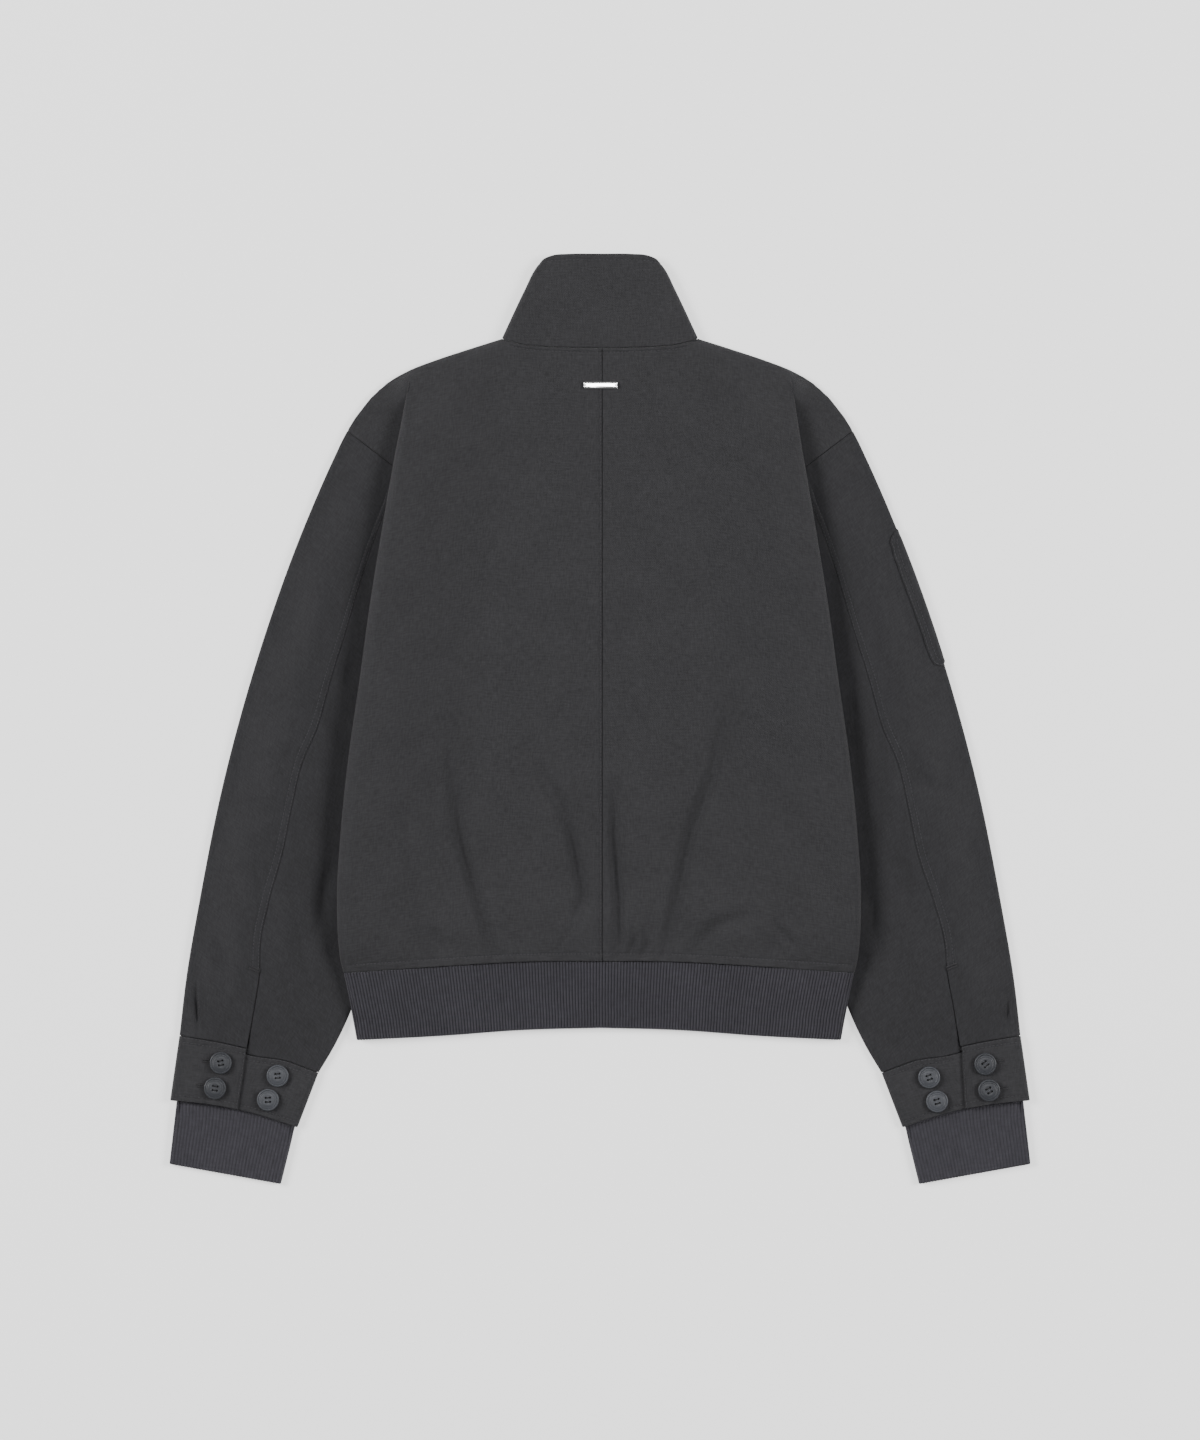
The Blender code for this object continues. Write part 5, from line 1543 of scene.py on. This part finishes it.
def build_neck_bar():
    """A small plain bar of polished metal, sewn on through a hole at each end."""
    bm = bmesh.new()
    bmesh.ops.create_cube(bm, size=1)
    bmesh.ops.scale(bm, vec=(BAR_LENGTH * MM, BAR_WIDTH * MM, BAR_THICK * MM), verts=bm.verts)
    upright = [edge for edge in bm.edges
               if abs(edge.verts[0].co.z - edge.verts[1].co.z) > BAR_THICK * MM / 2]
    bmesh.ops.bevel(bm, geom=upright, offset=0.9 * MM, segments=6, profile=0.5, affect="EDGES")
    level = [edge for edge in bm.edges
             if abs(edge.verts[0].co.z - edge.verts[1].co.z) < 1e-7
             and abs(edge.calc_face_angle(0)) > 1]
    bmesh.ops.bevel(bm, geom=level, offset=0.3 * MM, segments=3, profile=0.5, affect="EDGES")
    hole_x = BAR_LENGTH / 2 - 1.5
    mesh = drilled(kept_mesh("bar", bm), [(-hole_x, 0, 0.75), (hole_x, 0, 0.75)])
    mesh.shade_smooth()
    mesh.set_sharp_from_angle(angle=math.radians(30))
    lift = CROWN + SEAM_GAP + BAR_THICK / 2
    fixed("neck_plate", placed(mesh, *BAR_AT, lift), METAL_FINISH,
          node="neck_bar")
    half, top = BAR_LENGTH / 2, BAR_THICK / 2
    ties = []
    for end in (-1, 1):
        path = ((hole_x - 0.2, -1.2), (hole_x - 0.1, top - 0.1), (hole_x + 0.3, top + 0.3),
                (half - 0.3, top + 0.3), (half + 0.25, top - 0.2), (half + 0.3, -1.2))
        for across in (-0.3, 0.3):
            ties.append(tube_along([(end * px, across, pz) for px, pz in path], 0.28))
    tie = gathered_mesh("plate_thread", ties)
    fixed("plate_thread", placed(tie, *BAR_AT, lift), THREAD_FINISH)


def build_zip():
    """Woven tape between the two fronts, with a row of teeth down its middle underneath."""
    foot, top = HEM_FOOT[0][1] + 1, COLLAR_TOP[0][1] - 1
    half = OPEN_FRONT - SEAM_GAP

    def place(across, y):
        turned_up = 1.5 * ease((abs(across) - 0.7) / 0.3)
        return across * half, y, TAPE_LIFT + TAPE_CLOTH + turned_up + 0 * y

    points = table_of(np.linspace(-1, 1, 21), np.linspace(foot, top, 120), place)
    tape = grid_mesh("zip_tape", points, flip=True)
    piece = fixed("zip_tape", tape, TAPE_FINISH, node="front_zip")
    walled(piece, TAPE_CLOTH)
    width, length, area = cut_of(points)
    bm = bmesh.new()
    bmesh.ops.create_cube(bm, size=1)
    bmesh.ops.scale(bm, vec=[size * MM for size in TOOTH_SIZE], verts=bm.verts)
    bmesh.ops.bevel(bm, geom=bm.edges[:], offset=0.25 * MM, segments=1, affect="EDGES")
    tooth = linked("tooth_shape", kept_mesh("tooth", bm))
    line = [(0, y, TAPE_LIFT) for y in np.linspace(foot + 6, top - 6, 30)]
    lines = lines_of([(np.array(line, float), np.tile((0.0, 0.0, -1.0), (len(line), 1)))])
    teeth = grown(lines, SEWING, {"Shape": tooth, "Pitch": TOOTH_PITCH * MM, "Turn": 0.0,
                                  "Finish": METAL_FINISH})
    teeth.name = "zip_teeth"
    discard(lines, tooth)
    fixed("zip_teeth", teeth)


# ---------------------------------------------------------------- rows of sewing

def sew_back():
    y = np.arange(-205.0, 315.0, 1.5)
    left = 1.0 - CENTRE_SEAM
    sew_over((np.full_like(y, -left), y), lambda px, py: back_top(-px, py, -1))
    for side in (-1, 1):
        def top(px, py, side=side):
            return back_top(np.abs(px), py, side)
        x = np.arange(3.0, 212.0, 1.5)
        sew_over((side * x, follow(HEM_SEAM, x) + HEM_STITCH), top)
        x = np.arange(3.0, 76.0, 1.2)
        sew_over((side * x, follow(NECK_SEAM, x) - NECK_STITCH - 0.2), top)


def sew_collar():
    share = np.array([1 - COLLAR_STITCH / COLLAR_HEIGHT])
    spots = [collar_place(("top", at, 0), share) for at in np.linspace(-0.99, 0.99, 90)]
    sew([(float(np.ravel(x)[0]), float(np.ravel(y)[0]), float(np.ravel(z)[0]) + 0.15)
         for x, y, z in spots])


def sew_sleeves():
    for side in (-1, 1):
        section = sleeve_section(side)

        def top(px, py, side=side, section=section):
            return sleeve_form(np.abs(px), py, side) + sleeve_relief(np.abs(px), py, side)

        last = 0.843
        down = np.linspace(0.03, last, 240)
        width = sleeve_width(down)
        seam = sleeve_seam(down, side)
        for distance in (EDGE_STITCH, SECOND_STITCH):
            x, y = sleeve_plan(down, seam + distance / width)
            rise = seam_relief(np.full_like(x, distance), True, y, side)
            sew_over((side * x, y), lambda px, py, rise=rise, top=top: top(px, py) + rise)
        for further in (0.0015, 0.006):
            tack = np.linspace(-0.5, 9, 12) / width[-1]
            x, y = sleeve_plan(np.full(12, last + further), seam[-1] + tack)
            sew_over((side * x, y), lambda px, py, top=top: top(px, py) + 0.75, kind="tacks")


def sew_pocket():
    down = np.linspace(POCKET_EDGE[0][0] + 0.001, POCKET_EDGE[-1][0] - 0.001, 160)
    x, y = sleeve_plan(down, follow(POCKET_EDGE, down))
    along = np.stack([np.gradient(x), np.gradient(y)], axis=-1)
    along /= np.linalg.norm(along, axis=1, keepdims=True)
    for inset in (EDGE_STITCH, POCKET_STITCH):
        px, py = x - along[:, 1] * inset, y + along[:, 0] * inset
        slope = (sleeve_outer(py + 2) - sleeve_outer(py - 2)) / 4
        from_outside = (sleeve_outer(py) - px) / np.hypot(1, slope)
        keep = from_outside > 2.6

        def top(qx, qy):
            return sleeve_form(qx, qy, 1) + sleeve_relief(qx, qy, 1) * 0.6 + POCKET_CLOTH + 0.3

        sew_over((px[keep], py[keep]), top)


def sew_cuffs():
    for side in (-1, 1):
        def row(kind, values, downs, kind_of_sewing="stitches", lift=0.15):
            spots = [cuff_point(kind, value, down, side) for value, down in zip(values, downs)]
            sew([(side * float(x), float(y), float(z) + lift) for x, y, z, _ in spots],
                kind=kind_of_sewing)

        for kind, first, last in (("over", 0.03, 0.97), ("under", 0.02, 0.66)):
            values = np.linspace(first, last, 60)
            for distance in (EDGE_STITCH, CUFF_STITCH, CUFF_DEPTH - CUFF_STITCH):
                row(kind, values, np.full(60, distance / CUFF_DEPTH))
        row("over", np.full(40, 0.022), np.linspace(0.03, 0.97, 40))
        for button_side, x, y, seat, _ in BUTTONS:
            if button_side == side and seat == OVERLAP_TOP:
                slant = (CUFF_TOP_OUT[1] - CUFF_TOP_IN[1]) / (CUFF_TOP_OUT[0] - CUFF_TOP_IN[0])
                reach = np.linspace(-1.0, BUTTONHOLE_REACH - 4.0, 24)
                for shift in (-0.95, 0.95):
                    sew([(side * (x + r), y + slant * 0.6 * r + shift, seat + 0.2) for r in reach],
                        kind="tacks")


# ---------------------------------------------------------------- stage

def build_stage():
    bm = bmesh.new()
    bmesh.ops.create_grid(bm, x_segments=1, y_segments=1, size=FLOOR_REACH)
    bmesh.ops.translate(bm, verts=bm.verts, vec=(0, 0, -FLOOR_DROP * MM))
    mesh = kept_mesh("floor", bm)
    mesh.materials.append(make_floor_finish())
    linked("floor", mesh)


def aimed(name, x, y, z, size, power):
    """A square soft light at (x, y, z) that faces the jacket's middle."""
    light = bpy.data.lights.new(name, "AREA")
    light.shape = "SQUARE"
    light.size = size
    light.energy = power
    lamp = bpy.data.objects.new(name, light)
    lamp.location = (x, y, z)
    reach = math.hypot(x, y)
    lamp.rotation_euler = (math.atan2(reach, z), 0, math.atan2(x, -y) if reach else 0)
    bpy.context.scene.collection.objects.link(lamp)


def light_stage():
    for softbox in SOFTBOXES:
        aimed(*softbox)
    world = bpy.data.worlds.new("studio")
    world.use_nodes = True
    sky = world.node_tree.nodes["Background"]
    sky.inputs["Color"].default_value = (1, 1, 1, 1)
    sky.inputs["Strength"].default_value = SKY_STRENGTH
    bpy.context.scene.world = world


def build_camera():
    """Straight above, with a long lens: the photo's 1200 by 1440 frame at 0.86 mm a pixel."""
    wide, high = IMAGE_SIZE
    camera = bpy.data.cameras.new("overhead")
    camera.sensor_width = SENSOR
    camera.lens = camera.sensor_width * CAMERA_HEIGHT / (high * PIXEL * MM)
    camera.clip_start, camera.clip_end = 0.1, 20
    holder = bpy.data.objects.new("overhead", camera)
    holder.location = ((wide / 2 - JACKET_MIDDLE[0]) * PIXEL * MM,
                       (JACKET_MIDDLE[1] - high / 2) * PIXEL * MM, CAMERA_HEIGHT)
    bpy.context.scene.collection.objects.link(holder)
    bpy.context.scene.camera = holder


YARN, WEAVE, KNIT = make_yarn_group(), make_weave_group(), make_knit_group()
SEWING, RIBS = make_sewing_tree(), make_rib_tree()
TWILL_FINISH = make_twill("dark_twill", TWILL_COLOUR)
# painted shade: the sleeves' copy of the twill is darkened to stand in for their shade
SLEEVE_SHADED_FINISH = make_twill("sleeve_twill_painted_shade", SLEEVE_SHADED_COLOUR)
# painted shade in the knits' grooves, deeper on the hem than on the cuffs
HEM_RIB_FINISH, CUFF_RIB_FINISH = make_rib("hem_rib_knit", 0.46), make_rib("cuff_rib_knit", 0.72)
TAPE_FINISH = make_tape()
THREAD_FINISH = make_thread("sewing_thread", THREAD_COLOUR)
TACK_FINISH = make_thread("tack_thread", TACK_COLOUR)
# painted shade: the buttons' thread takes the near-black tape colour to stand in for the shade in
# their holes
TIE_SHADE_FINISH = make_thread("shaded_button_thread", TAPE_COLOUR)
# two copies of one button plastic: one with painted light, one with painted shade
LIT_BUTTON_FINISH = make_button_plastic("painted_light_plastic", LIT_BUTTON_COLOUR)
SHADED_BUTTON_FINISH = make_button_plastic("painted_shade_plastic", SHADED_BUTTON_COLOUR)
METAL_FINISH = make_metal()

for side_name, sign in (("left", -1), ("right", 1)):
    build_back(side_name, sign)
    build_front(side_name, sign)
    build_sleeve(side_name, sign)
    build_cuff(side_name, sign)
    build_rib_cuff(side_name, sign)
build_hem()
build_collar()
build_pocket()
build_buttons()
build_neck_bar()
build_zip()
for sew_part in (sew_back, sew_collar, sew_sleeves, sew_pocket, sew_cuffs):
    sew_part()
sew_everything()
build_stage()
light_stage()
build_camera()
